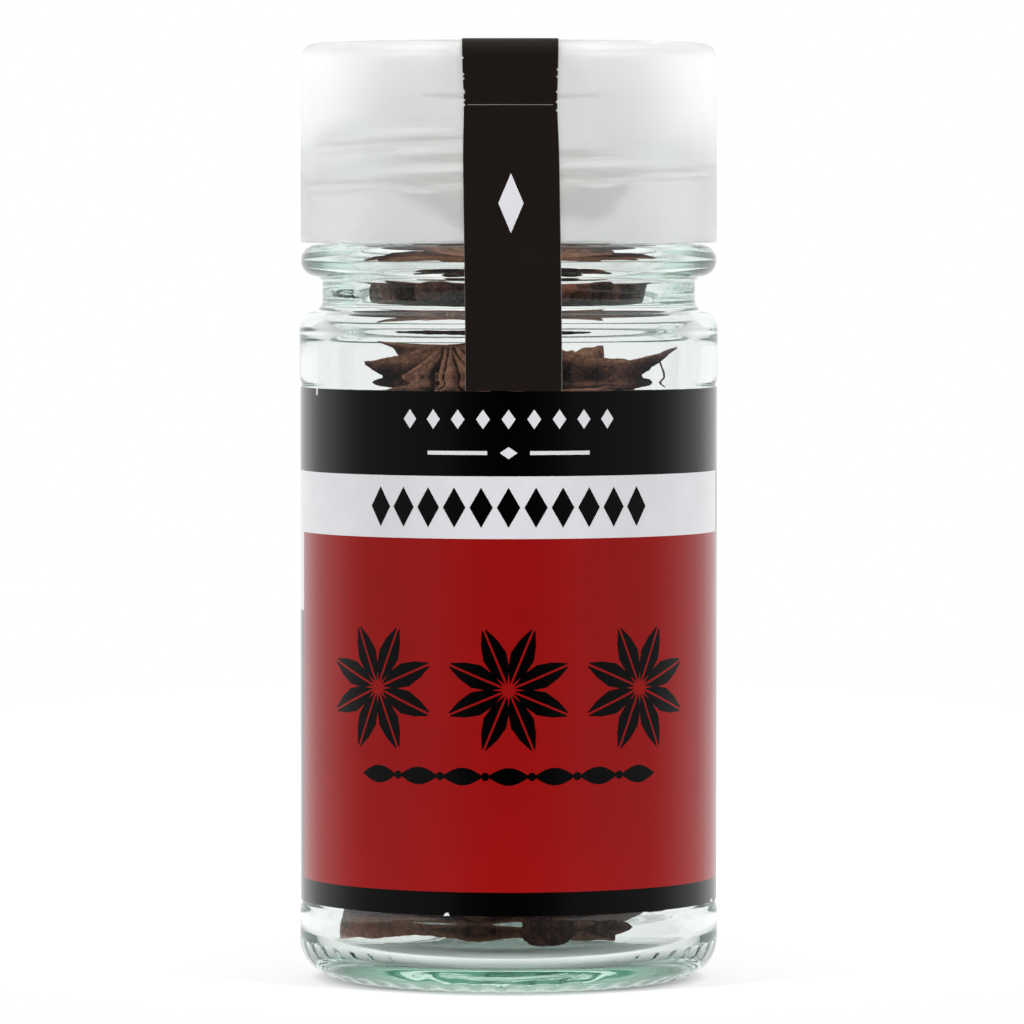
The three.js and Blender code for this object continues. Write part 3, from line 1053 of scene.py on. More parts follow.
def printed(name: str, outlines: Sequence[Outline], radius: float, node: str, slot: str,
            ink: bpy.types.Material, lift: float = 0.018, slice_width: float = 0.9) -> bpy.types.Object:
    """Wraps flat outlines round the jar's axis as thin raised print.

    Args:
        name: the piece's name.
        outlines: shapes as (distance round the jar, height) points.
        radius: radius of the surface that they lie on.
        node: the node of the model that they belong to.
        slot: the record's material slot.
        ink: their material.
        lift: how far they stand out of the surface.
        slice_width: widest stretch that stays flat.

    Returns:
        The new object.
    """
    flat = bmesh.new()
    for outline in outlines:
        flat.faces.new([flat.verts.new((x, 0.0, z)) for x, z in outline])
    flat.normal_update()
    for face in flat.faces:
        if face.normal.y > 0:
            face.normal_flip()
    raised = bmesh.ops.extrude_face_region(flat, geom=flat.faces[:], use_keep_orig=True)
    for vertex in (v for v in raised["geom"] if isinstance(v, bmesh.types.BMVert)):
        vertex.co.y = -2 * lift
    bmesh.ops.recalc_face_normals(flat, faces=flat.faces[:])
    reach = [v.co.x for v in flat.verts]
    for k in range(math.ceil(min(reach) / slice_width), math.floor(max(reach) / slice_width) + 1):
        geometry = flat.verts[:] + flat.edges[:] + flat.faces[:]
        bmesh.ops.bisect_plane(flat, geom=geometry, plane_co=(k * slice_width, 0, 0), plane_no=(1, 0, 0))
    for vertex in flat.verts:
        around = vertex.co.x / radius
        out = radius - lift - vertex.co.y
        vertex.co = Vector((out * math.sin(around), -out * math.cos(around), vertex.co.z))
    flat.verts.index_update()
    points = np.array([v.co[:] for v in flat.verts])
    faces = [tuple(v.index for v in face.verts) for face in flat.faces]
    flat.free()
    mesh = Mesh()
    mesh.add(points, faces)
    return mesh.piece(name, node, slot, [ink], 30.0)


@dataclass
class WrapLabel:
    """The label: one sheet right round the panel, lapped over itself at the back, printed in fields.

    Angles are in degrees from the front, and counted to the right.

    Attributes:
        inner: radius of its back.
        thickness: the sheet's thickness.
        heights: where its fields change, from the lower edge to the upper one.
        front: where the front panel starts and ends.
        side_panel: where the white field beside it starts, and its lower edge's height.
        seam: where the sheet's end lies over its start.
        lap: how far it does so.
        stars_at: height of the row of stars.
        leaves_at: height of the row of leaves.
        band_at: height of the row of lozenges.
        crown_at: height of the two rows above them.
        chips: outlines of the spots where the ink has come off the edges.
    """

    inner: float = 22.78
    thickness: float = 0.12
    heights: tuple[float, ...] = (8.6, 11.15, 49.1, 55.8, 64.9)
    front: tuple[float, float] = (-78.0, 81.5)
    side_panel: tuple[float, float] = (-104.0, 40.5)
    seam: float = 171.0
    lap: float = 7.0
    stars_at: float = 32.9
    leaves_at: float = 23.6
    band_at: float = 52.45
    crown_at: tuple[float, float] = (61.9, 58.3)
    chips: tuple[tuple[tuple[float, float], ...], ...] = (
        ((-7.1, 8.55), (-6.4, 8.6), (-6.6, 8.95), (-6.9, 8.85)),
        ((-26.4, 64.2), (-26.0, 64.15), (-25.9, 64.9), (-26.3, 64.92)),
        ((29.6, 8.62), (30.7, 8.6), (30.6, 8.85), (29.9, 8.95)),
    )

    def sheet(self, inks: dict[Ink, bpy.types.Material]) -> bpy.types.Object:
        """Makes the printed sheet."""
        left, right = self.front
        turns = (self.seam - 360.0, self.side_panel[0], left, right, self.seam + self.lap)
        around = self.steps(turns, 1.5)
        up = self.steps(sorted((*self.heights, self.side_panel[1])), 6.0)
        lapped = smoothstep((around - self.seam + 3.0) / 3.0) * (self.thickness + 0.01)
        rows, columns = len(up), len(around)
        angles = np.radians(around - 90.0)
        heights = np.repeat(up[:, None], columns, axis=1)
        skins = [round_grid(np.repeat((self.inner + lapped + depth)[None, :], rows, axis=0), heights, angles)
                 for depth in (self.thickness, 0.0)]
        levels, turns = (up[:-1] + up[1:]) / 2, (around[:-1] + around[1:]) / 2
        order = [Ink.BLACK, Ink.WHITE, Ink.RED, Ink.PAPER, Ink.BACK]
        front, back, edges = sheet_faces(rows, columns)
        mesh = Mesh()
        mesh.add(np.concatenate(skins), front + back + edges)
        mesh.materials = [order.index(self.ink_at(level, turn)) for level in levels for turn in turns]
        # the back faces wear the dark grey painted shade; the edges wear paper
        mesh.materials += [order.index(Ink.BACK)] * len(back) + [order.index(Ink.PAPER)] * len(edges)
        return mesh.piece("label_sheet", "wrap_label", "label_print", [inks[ink] for ink in order], 40.0)

    @staticmethod
    def steps(marks: Sequence[float], widest: float) -> Array:
        """Rising places that take in every mark.

        Args:
            marks: the places where the print changes.
            widest: the most that two places may lie apart.

        Returns:
            The places.
        """
        parts = [np.linspace(a, b, 2 + int((b - a) / widest))[:-1] for a, b in zip(marks, marks[1:])]
        return np.concatenate([*parts, marks[-1:]])

    def ink_at(self, height: float, turn: float) -> Ink:
        """The ink of the field at a height and an angle from the front."""
        base, red, white, _ = self.heights[1:]
        beside, sill = self.side_panel
        if beside < turn < self.front[0] and sill < height < white:
            return Ink.WHITE
        if not self.front[0] < turn < self.front[1] or height < base or height > white:
            return Ink.BLACK
        return Ink.RED if height < red else Ink.WHITE

    def build(self, inks: dict[Ink, bpy.types.Material]) -> list[bpy.types.Object]:
        """Makes the sheet, its ornaments and the small chips in its edge."""
        radius = self.inner + self.thickness
        upper, lower = self.crown_at
        stars = [outline for x in (-15.2, 0.0, 15.2) for outline in Motif.star(x, self.stars_at, 7.0)]
        leaves = [Motif.leaf(x, self.leaves_at, 4.6, 1.9) for x in np.arange(-3, 4) * 5.0]
        leaves += [Motif.dot(x, self.leaves_at, 0.9) for x in (np.arange(-3, 3) + 0.5) * 5.0]
        band = [Motif.lozenge(x, self.band_at, 2.5, 4.3) for x in np.arange(-5, 6) * 2.95]
        crown = [Motif.lozenge(x, upper, 1.5, 2.1) for x in np.arange(-4, 5) * 2.75]
        crown += [Motif.bar(side * 5.6, lower, 6.6, 0.42) for side in (-1, 1)]
        crown.append(Motif.lozenge(0, lower, 1.9, 1.3))
        pieces = [self.sheet(inks)]
        for name, outlines, ink in (("label_stars", stars, Ink.BLACK), ("label_leaves", leaves, Ink.BLACK),
                                    ("label_lozenges", band, Ink.BLACK), ("label_crown", crown, Ink.WHITE),
                                    ("label_chips", self.chips, Ink.WHITE)):
            pieces.append(printed(name, outlines, radius, "wrap_label", "label_print", inks[ink]))
        return pieces


@dataclass
class SealStrip:
    """The seal: a paper band from the label's edge over the cap and down the back, with torn nicks.

    Attributes:
        width: the band's width.
        thickness: the paper's thickness.
        cap_radius: radius of its back on the cap.
        body_radius: radius of its back on the jar.
        top: height of its back on the roof.
        bend: radius of its bend over the cap's edge.
        bottom: height of its two ends.
        leaves_body: height where it lifts off the shoulder.
        meets_cap: height where it lies on the cap.
        nicked_from: height from which its edges have nicks.
        middle: how far its middle lies to the right, at the top and at the bottom.
        waist: how far each edge is drawn in at its waist, the waist's height and its reach.
        nick_size: half the height of a nick.
        nick_depth: how far a nick reaches in.
        left_nicks: heights of the nicks in the left edge.
        right_nicks: heights of the nicks in the right edge.
        score: place, width and height of its score line.
        ornament: place, width and height of its lozenge.
        columns: points across it.
    """

    width: float = 10.35
    thickness: float = 0.12
    cap_radius: float = 22.88
    body_radius: float = 23.03
    top: float = 102.52
    bend: float = 1.62
    bottom: float = 64.95
    leaves_body: float = 71.0
    meets_cap: float = 80.7
    nicked_from: float = 94.6
    middle: tuple[float, float] = (0.18, 0.55)
    nick_size: float = 0.09
    nick_depth: float = 0.2
    left_nicks: tuple[float, ...] = (100.5, 98.75, 98.3, 97.0, 96.75, 96.0, 95.5)
    right_nicks: tuple[float, ...] = (99.25, 98.5, 96.9, 95.8, 94.9)
    waist: tuple[float, float, float] = (0.16, 95.5, 3.5)
    score: tuple[float, float, float, float] = (0.2, 95.5, 9.2, 0.07)
    ornament: tuple[float, float, float, float] = (0.25, 85.0, 2.7, 6.4)
    columns: int = 26

    def path(self) -> Array:
        """The front half of the middle line as (distance from the axis, height), from its end to the roof."""
        corner = (self.cap_radius - self.bend, self.top - self.bend)
        return np.concatenate([
            line((self.body_radius, self.bottom), (self.body_radius, self.leaves_body), 8),
            line((self.body_radius - 0.01, self.leaves_body + 1.0), (self.cap_radius, self.meets_cap), 7),
            line((self.cap_radius, self.meets_cap + 0.7), (self.cap_radius, self.nicked_from), 14),
            line((self.cap_radius, self.nicked_from + 0.1), (self.cap_radius, corner[1] - 0.1), 56),
            arc(corner, (self.bend, self.bend), (0, 90), 14),
            line((corner[0] - 1.0, self.top), (0.0, self.top), 18),
        ])

    def edges(self, heights: Array) -> tuple[Array, Array]:
        """Where the two edges lie, bowed a little and nicked near the top.

        Args:
            heights: height of each row.

        Returns:
            The left and the right edge's place along X.
        """
        drop = np.clip((self.top - heights) / (self.top - self.bottom), 0, 1)
        lean = self.middle[0] + (self.middle[1] - self.middle[0]) * smoothstep(drop)
        depth, height, reach = self.waist
        pinch = depth * np.exp(-((heights - height) / reach) ** 2)
        left = lean - self.width / 2 + pinch
        right = lean + self.width / 2 - pinch
        for nick in self.left_nicks:
            left = left + self.nick_depth * np.exp(-((heights - nick) / self.nick_size) ** 2)
        for nick in self.right_nicks:
            right = right - self.nick_depth * np.exp(-((heights - nick) / self.nick_size) ** 2)
        return left, right

    def build(self, inks: dict[Ink, bpy.types.Material]) -> list[bpy.types.Object]:
        """Makes the band, its score line and its ornament."""
        half = self.path()
        path = np.concatenate([half * (-1, 1), half[::-1][1:]])
        left, right = self.edges(path[:, 1])
        columns = self.columns
        share = np.concatenate([[0.0], np.linspace(0.003, 0.995, columns - 2), [1.0]])
        across = left[:, None] + (right - left)[:, None] * share[None, :]
        tangent = np.gradient(path, axis=0)
        tangent /= np.linalg.norm(tangent, axis=1)[:, None]
        normal = np.column_stack([-tangent[:, 1], tangent[:, 0]])
        skins = []
        for depth in (self.thickness, 0.0):
            y = np.repeat((path[:, 0] + normal[:, 0] * depth)[:, None], columns, axis=1)
            z = np.repeat((path[:, 1] + normal[:, 1] * depth)[:, None], columns, axis=1)
            reach = np.abs(y)
            y = np.sign(y) * np.sqrt(np.maximum(reach ** 2 - across ** 2 * (reach / self.cap_radius) ** 4, 0))
            skins.append(np.stack([across, y, z], axis=-1).reshape(-1, 3))
        front, back, edges = sheet_faces(len(path), columns)
        mesh = Mesh()
        mesh.add(np.concatenate(skins), front + back + edges)
        bordered = [1] + [0] * (columns - 3) + [1]
        mesh.materials = bordered * (len(path) - 1) + [1] * (len(back) + len(edges))
        band = mesh.piece("seal_band", "seal_strip", "seal_print", [inks[Ink.SEAL], inks[Ink.EDGE]], 40.0)
        radius = self.cap_radius + self.thickness
        score = printed("seal_score", [Motif.bar(*self.score)], radius, "seal_strip", "seal_print",
                        inks[Ink.EDGE], 0.012)
        ornament = printed("seal_ornament", [Motif.lozenge(*self.ornament)], radius, "seal_strip",
                           "seal_print", inks[Ink.WHITE])
        return [band, score, ornament]


# ------------------------------------------------------------------ the pods

@dataclass(frozen=True)
class Growth:
    """How a size changes along a carpel, from its root at 0 to its tip at 1.

    Attributes:
        blunt: share of the full size at each station, for a blunt carpel.
        beaked: the same for one with a long beak.
        stations: places along the carpel.
    """

    blunt: tuple[float, ...]
    beaked: tuple[float, ...]
    stations: tuple[float, ...] = (0.0, 0.14, 0.34, 0.6, 0.8, 0.93, 1.0)

    def at(self, u: Array, slim: float) -> Array:
        """The share at each place, for a carpel between blunt, 0, and beaked, 1."""
        shares = (1 - slim) * np.asarray(self.blunt) + slim * np.asarray(self.beaked)
        return smooth_curve(self.stations, shares, u)


@dataclass(frozen=True)
class Placed:
    """Where a pod lies and how it looks.

    Attributes:
        at: its middle.
        turn: how far it is turned round the jar's axis, in degrees, from facing the front.
        elevation: how far its open face looks up, in degrees.
        spin: how far its carpels are turned in their own plane, in degrees.
        radius: length of its longest carpels.
        gape: how far its carpels gape, from 0 to 1.
        beak: how long their beaks are, from 0 to 1, or below 0 for blunter ones.
        arms: how many carpels stand round its middle.
        stalk: length of its stalk, 0 for none.
        deep: depth of its carpels against the usual.
        plump: width of its carpels against the usual.
        hidden: whether the label hides it, so that it may be coarser.
        broken: the numbers of carpels that have come off.
    """

    at: tuple[float, float, float]
    turn: float
    elevation: float
    spin: float
    radius: float
    gape: float
    beak: float = 0.3
    arms: int = 8
    stalk: float = 0.0
    deep: float = 1.0
    plump: float = 1.0
    hidden: bool = False
    broken: tuple[int, ...] = ()

    def frame(self) -> Matrix:
        """The matrix from the pod's own axes, open face up, to the jar's."""
        tilt = Matrix.Rotation(math.radians(90.0 - self.elevation), 4, "X")
        round_axis = Matrix.Rotation(math.radians(self.turn), 4, "Z")
        return Matrix.Translation(self.at) @ round_axis @ tilt


@dataclass
class Heap:
    """The pods that fill the jar, one on another.

    Attributes:
        jar: the jar that they fill.
        clearance: the least gap between a pod and the glass.
        fine: stations along a carpel, and steps round its outside and inside, of a pod that shows.
        coarse: the same for a hidden pod.
        depth: depth of a carpel against its length.
        half_width: half its width against its length.
        widths: how its width changes along it.
        depths: how its depth changes along it.
        openings: how its opening changes along it.
        seed_from: how far a carpel gapes before its seed shows.
        hub_rim: how much of the rims' pale colour the middle column takes.
        stalk_rim: how much of it a stalk takes.
        twig_at: where the loose twig starts.
        pods: the pods, from the bottom up.
    """

    jar: GlassJar
    clearance: float = 0.25
    fine: tuple[int, int, int] = (34, 26, 8)
    coarse: tuple[int, int, int] = (13, 12, 4)
    depth: float = 0.5
    half_width: float = 0.17
    widths: Growth = Growth((0.2, 0.42, 0.84, 1.0, 0.78, 0.42, 0.1), (0.2, 0.5, 0.95, 0.86, 0.44, 0.17, 0.04))
    depths: Growth = Growth((0.4, 0.6, 0.86, 1.0, 0.9, 0.62, 0.16), (0.5, 0.84, 1.0, 0.57, 0.22, 0.07, 0.02))
    openings: Growth = Growth((0.0, 0.2, 0.7, 1.0, 0.8, 0.3, 0.0), (0.0, 0.3, 0.9, 0.9, 0.4, 0.1, 0.0))
    seed_from: float = 0.42
    hub_rim: float = 0.25
    stalk_rim: float = 0.3
    twig_at: tuple[float, float, float] = (16.0, -3.0, 68.4)
    pods: tuple[Placed, ...] = (
        Placed((-3.6, -8.5, 4.9), 90, -91, 0, 16.2, 0.2, -0.4, plump=1.3, broken=(3, 4, 5)),
        Placed((7.2, -2.5, 13.7), -80, 82, 58, 14.4, 0.3, -0.3, plump=1.5, broken=(0, 5)),
        Placed((0.0, 2.0, 20.0), 160, 66, 30, 14.0, 0.6, hidden=True),
        Placed((-2.0, -1.5, 26.5), -30, 74, 10, 14.0, 0.5, hidden=True),
        Placed((2.5, 0.0, 33.0), 60, 78, 25, 14.0, 0.6, stalk=9.0, hidden=True),
        Placed((-2.0, 2.0, 39.5), 190, 70, 0, 13.5, 0.5, hidden=True),
        Placed((2.0, -2.0, 46.0), 20, 76, 18, 14.0, 0.4, hidden=True),
        Placed((-2.0, 1.0, 52.5), -80, 74, 33, 14.0, 0.7, hidden=True),
        Placed((1.5, 2.0, 58.5), 100, 78, 7, 13.5, 0.6, hidden=True),
        Placed((1.2, -1.5, 65.4), 0, 88, 0, 14.8, 0.2, -0.2),
        Placed((4.9, 0.4, 68.6), -6, 86, 342, 15.8, 0.12, 0.9, deep=0.7, broken=(1, 7)),
        Placed((-6.4, -7.6, 69.9), -20, 42, 27, 10.0, 0.06, 0.6, arms=10, deep=1.3, plump=0.8,
               broken=(1, 2, 3)),
        Placed((0.0, -0.6, 78.5), 0, 85, 16.4, 18.6, 0.14, -0.1, arms=11, deep=0.24, plump=1.2),
        Placed((0.4, -1.0, 87.4), 0, 82, 20, 15.6, 0.3, 0.1, arms=10, deep=0.34),
    )

    def keep_inside(self, points: Array) -> Array:
        """Moves points that would cross the glass back to just inside it.

        Args:
            points: x, y, z rows in the jar's frame.

        Returns:
            The points, moved where needed.
        """
        points = points.copy()
        radius = np.hypot(points[:, 0], points[:, 1])
        allowed = self.jar.inner_wall_at(points[:, 2]) - self.clearance
        shrink = np.minimum(1.0, allowed / np.maximum(radius, 1e-9))
        points[:, :2] *= shrink[:, None]
        floor = self.jar.floor_at(radius * shrink) + self.clearance
        points[:, 2] = np.maximum(points[:, 2], floor)
        return points

    @staticmethod
    def section(width: float, drop: float, lip: float, gap: float, part: float,
                steps: Sequence[int]) -> tuple[Array, Array, Array]:
        """One cross-section of a carpel, from lip to lip round the outside and back inside.

        Args:
            width: half its width.
            drop: its depth.
            lip: thickness of its lips.
            gap: half the distance between the outer edges of its lips.
            part: how far it is open, from 0 to 1.
            steps: steps outside and inside.

        Returns:
            Its (across, up) rows, and the rim and the hollow mark of each.
        """
        outer = np.linspace(-1, 1, steps[0])
        inner = np.linspace(1, -1, steps[1] + 2)[1:-1]
        s, t = np.abs(outer), np.abs(inner)
        y = 3 * (1 - s) ** 2 * s * width * 1.28 + 3 * (1 - s) * s ** 2 * width * 1.22 + s ** 3 * gap
        z = -drop * ((1 - s) ** 3 + 3 * (1 - s) ** 2 * s * 0.96 + 3 * (1 - s) * s ** 2 * 0.24)
        bead = np.exp(-((1 - s) / 0.07) ** 2)
        shell = np.column_stack([np.sign(outer) * (y + 0.2 * lip * bead), z + 0.55 * lip * bead])
        room, under = gap - lip, drop * (0.1 + 0.55 * part)
        inside_y = np.sign(inner) * (room * t ** 3 + 3 * (1 - t) * t * (width * 0.75 * part) * t)
        inside_z = -under * (1 - t ** 3) - 0.1 * lip
        rows = np.concatenate([shell, np.column_stack([inside_y, inside_z])])
        near_lip = np.exp(-((1 - s) / 0.1) ** 2)
        rims = np.concatenate([near_lip, np.exp(-((1 - t) / 0.3) ** 2) * (1 - 0.6 * part)])
        hollows = np.concatenate([np.zeros(len(s)), np.full(len(t), part > 0.12) * (1 - t ** 6)])
        return rows, rims, hollows

    def arm(self, pod: Placed, chance: np.random.Generator) -> tuple[Array, Array, Array, float]:
        """One boat-shaped carpel along +X, open side up.

        Args:
            pod: the pod that it belongs to.
            chance: source of its unevenness.

        Returns:
            Its grid of points, the rim and hollow marks of each point, and how far it gapes.
        """
        reach = pod.radius * chance.uniform(0.82, 1.0)
        deep = pod.radius * self.depth * pod.deep * chance.uniform(0.86, 1.08)
        wide = pod.radius * self.half_width * pod.plump * chance.uniform(0.85, 1.2)
        open_share = float(np.clip(pod.gape * chance.uniform(0.3, 1.6), 0.0, 1.0))
        beak, bend = chance.uniform(0.02, 0.14), chance.uniform(-0.06, 0.06)
        stations, *steps = self.coarse if pod.hidden else self.fine
        u = np.linspace(0.0, 1.0, stations)
        slim = float(np.clip(pod.beak + chance.uniform(-0.25, 0.25), -0.6, 1.0))
        beak *= 0.3 + 0.7 * max(slim, 0.0)
        ragged = np.array([noise.noise(Vector((x * 9.0, 31.7 * beak, 5.1 * bend))) for x in u.tolist()])
        width, drop = wide * self.widths.at(u, slim), deep * self.depths.at(u, slim)
        part = open_share * self.openings.at(u, slim)
        top = pod.radius * (beak * u ** 4 - 0.035 * np.sin(math.pi * u) + 0.03 * ragged * u)
        lip = 0.032 * pod.radius * (1 - 0.5 * u ** 3)
        gap = lip + (width - lip) * 0.8 * part
        grid, rims, hollows = [], [], []
        for i in range(stations):
            rows, rim, hollow = self.section(width[i], drop[i], lip[i], gap[i], part[i], steps)
            across = rows[:, 0] + bend * reach * u[i] ** 2
            grid.append(np.column_stack([np.full(len(rows), u[i] * reach), across, rows[:, 1] + top[i]]))
            rims.append(rim)
            hollows.append(hollow)
        return np.stack(grid), np.stack(rims), np.stack(hollows), open_share

    def wrinkled(self, grid: Array, rims: Array, seed: float) -> Array:
        """Pushes a carpel's skin in and out along its sections, as drying does.

        Args:
            grid: its points by station and place round the section.
            rims: the rim mark of each point, where the skin stays firm.
            seed: a number that sets this carpel's wrinkles apart.

        Returns:
            The wrinkled points.
        """
        centre = grid.mean(axis=1, keepdims=True)
        out = grid - centre
        out[:, :, 0] = 0.0
        out /= np.maximum(np.linalg.norm(out, axis=2, keepdims=True), 1e-6)
        flat = grid.reshape(-1, 3)
        reach = min(1.0, grid[:, :, 0].max() / 13.0)
        shift = np.empty(len(flat))
        for i, (x, y, z) in enumerate(flat.tolist()):
            place = Vector((x * 0.55 + seed, y * 0.9, z * 0.6))
            coarse = noise.noise(place)
            fine = noise.turbulence(Vector((x * 1.1, y * 1.3 + seed, z * 1.7)), 4, True)
            shift[i] = reach * (0.34 * coarse - 0.5 * (fine - 0.6))
        firm = 1 - 0.75 * rims
        thick = np.linalg.norm(grid.max(axis=1) - grid.min(axis=1), axis=1)
        fade = smoothstep(thick / 2.5)[:, None]
        return grid + out * (shift.reshape(rims.shape) * firm * fade)[:, :, None]

    def build(self) -> list[bpy.types.Object]:
        """Makes the husks, the seeds and the stalks, each kind as one piece."""
        husks, seeds, stalks = Mesh(), Mesh(), Mesh()
        for number, pod in enumerate(self.pods):
            chance = np.random.default_rng((8, number))
            frame_matrix = np.array(pod.frame())
            for k in range(pod.arms):
                grid, rims, hollows, opened = self.arm(pod, chance)
                sway, nod = chance.uniform(-4, 4), chance.uniform(-0.08, 0.1) * pod.deep
                if k in pod.broken:
                    continue
                grid = self.wrinkled(grid, rims, 17.3 * number + 2.9 * k)
                turn = math.radians(pod.spin + 360.0 / pod.arms * k + sway)
                local = np.array(Matrix.Rotation(turn, 4, "Z") @ Matrix.Rotation(-nod, 4, "Y"))
                points = self.keep_inside(self.moved(grid.reshape(-1, 3), frame_matrix @ local))
                husks.add(points, rod_faces(*rims.shape), rim=rims.ravel(), hollow=hollows.ravel())
                if opened > self.seed_from:
                    self.seed(seeds, pod, frame_matrix @ local)
            self.hub(husks, pod, frame_matrix)
            if pod.stalk:
                self.stalk(stalks, pod, frame_matrix)
        self.twig(stalks)
        husk, coat = HuskFinish().build("dried_husk"), SeedFinish().build("seed_coat")
        pieces = [husks.piece("anise_husks", "star_anise", "dried_pod", [husk], 80.0)]
        if seeds.count:
            pieces.append(seeds.piece("anise_seeds", "star_anise", "dried_pod", [coat], 80.0))
        pieces.append(stalks.piece("anise_stalks", "star_anise", "dried_pod", [husk], 80.0))
        return pieces

    @staticmethod
    def moved(points: Array, matrix: Array) -> Array:
        """Points after a 4 by 4 matrix."""
        return points @ matrix[:3, :3].T + matrix[:3, 3]

    @staticmethod
    def ball(centre: Sequence[float], size: Sequence[float], rows: int,
             columns: int) -> tuple[Array, list[Face]]:
        """A closed rounded body.

        Args:
            centre: its middle.
            size: its half widths along X, Y and Z.
            rows: rings from end to end.
            columns: points in each ring.

        Returns:
            Its points and its faces.
        """
        up = np.linspace(-math.pi / 2, math.pi / 2, rows + 2)[1:-1]
        around = np.arange(columns) * 2 * math.pi / columns
        ring = np.cos(up)[:, None]
        points = np.stack([ring * np.cos(around), ring * np.sin(around),
                           np.repeat(np.sin(up)[:, None], columns, axis=1)], axis=-1).reshape(-1, 3)
        points, faces = capped(points, columns, (-1.0, 1.0))
        return points * size + centre, faces

    def seed(self, seeds: Mesh, pod: Placed, matrix: Array) -> None:
        """Adds the seed that lies in an open carpel."""
        size = pod.radius * np.array([0.19, 0.075, 0.13])
        points, faces = self.ball((pod.radius * 0.55, 0.0, -pod.radius * 0.13), size, 9, 14)
        seeds.add(self.keep_inside(self.moved(points, matrix)), faces)

    def hub(self, husks: Mesh, pod: Placed, matrix: Array) -> None:
        """Adds the rounded column in the middle that the carpels join."""
        size = pod.radius * np.array([0.13, 0.13, 0.19 * pod.deep])
        points, faces = self.ball((0.0, 0.0, -pod.radius * 0.2 * pod.deep), size, 9, 16)
        rough = np.array([noise.noise(Vector(p) * 0.9) for p in points.tolist()])
        points = points * (1 + 0.1 * rough[:, None])
        rims = np.full(len(points), self.hub_rim)
        husks.add(self.keep_inside(self.moved(points, matrix)), faces, rim=rims, hollow=np.zeros(len(points)))

    def tube(self, mesh: Mesh, path: Array, radii: Array, sides: int = 12) -> None:
        """Adds a bent round stalk.

        Args:
            mesh: where it goes.
            path: its middle line.
            radii: its radius at each point of that line.
            sides: points round it.
        """
        forward = np.gradient(path, axis=0)
        forward /= np.linalg.norm(forward, axis=1)[:, None]
        side = np.cross(forward, (0.31, 0.87, 0.38))
        side /= np.linalg.norm(side, axis=1)[:, None]
        over = np.cross(forward, side)
        around = np.arange(sides) * 2 * math.pi / sides
        ring = (side[:, None, :] * np.cos(around)[None, :, None]
                + over[:, None, :] * np.sin(around)[None, :, None])
        points = self.keep_inside((path[:, None, :] + ring * radii[:, None, None]).reshape(-1, 3))
        rims = np.full(len(points), self.stalk_rim)
        mesh.add(points, rod_faces(len(path), sides), rim=rims, hollow=np.zeros(len(points)))

    def stalk(self, stalks: Mesh, pod: Placed, matrix: Array) -> None:
        """Adds the curved stalk under a pod."""
        t = np.linspace(0, 1, 16)
        path = np.column_stack([pod.stalk * 0.5 * t ** 2, 0.2 * pod.stalk * t ** 2,
                                -pod.radius * 0.3 - pod.stalk * t * (1 - 0.25 * t)])
        self.tube(stalks, self.moved(path, matrix), 0.62 + 0.35 * np.exp(-((1 - t) / 0.12) ** 2))

    def twig(self, stalks: Mesh) -> None:
        """Adds the loose thin twig that hangs off a pod's tip on the right."""
        t = np.linspace(0, 1, 14)
        x, y, z = self.twig_at
        path = np.column_stack([x + 0.9 * t ** 0.7, y - 1.2 * t, z + 0.1 * np.sin(9 * t) - 2.6 * t ** 1.3])
        self.tube(stalks, path, 0.15 - 0.04 * t, 8)


# ------------------------------------------------------------------ the studio

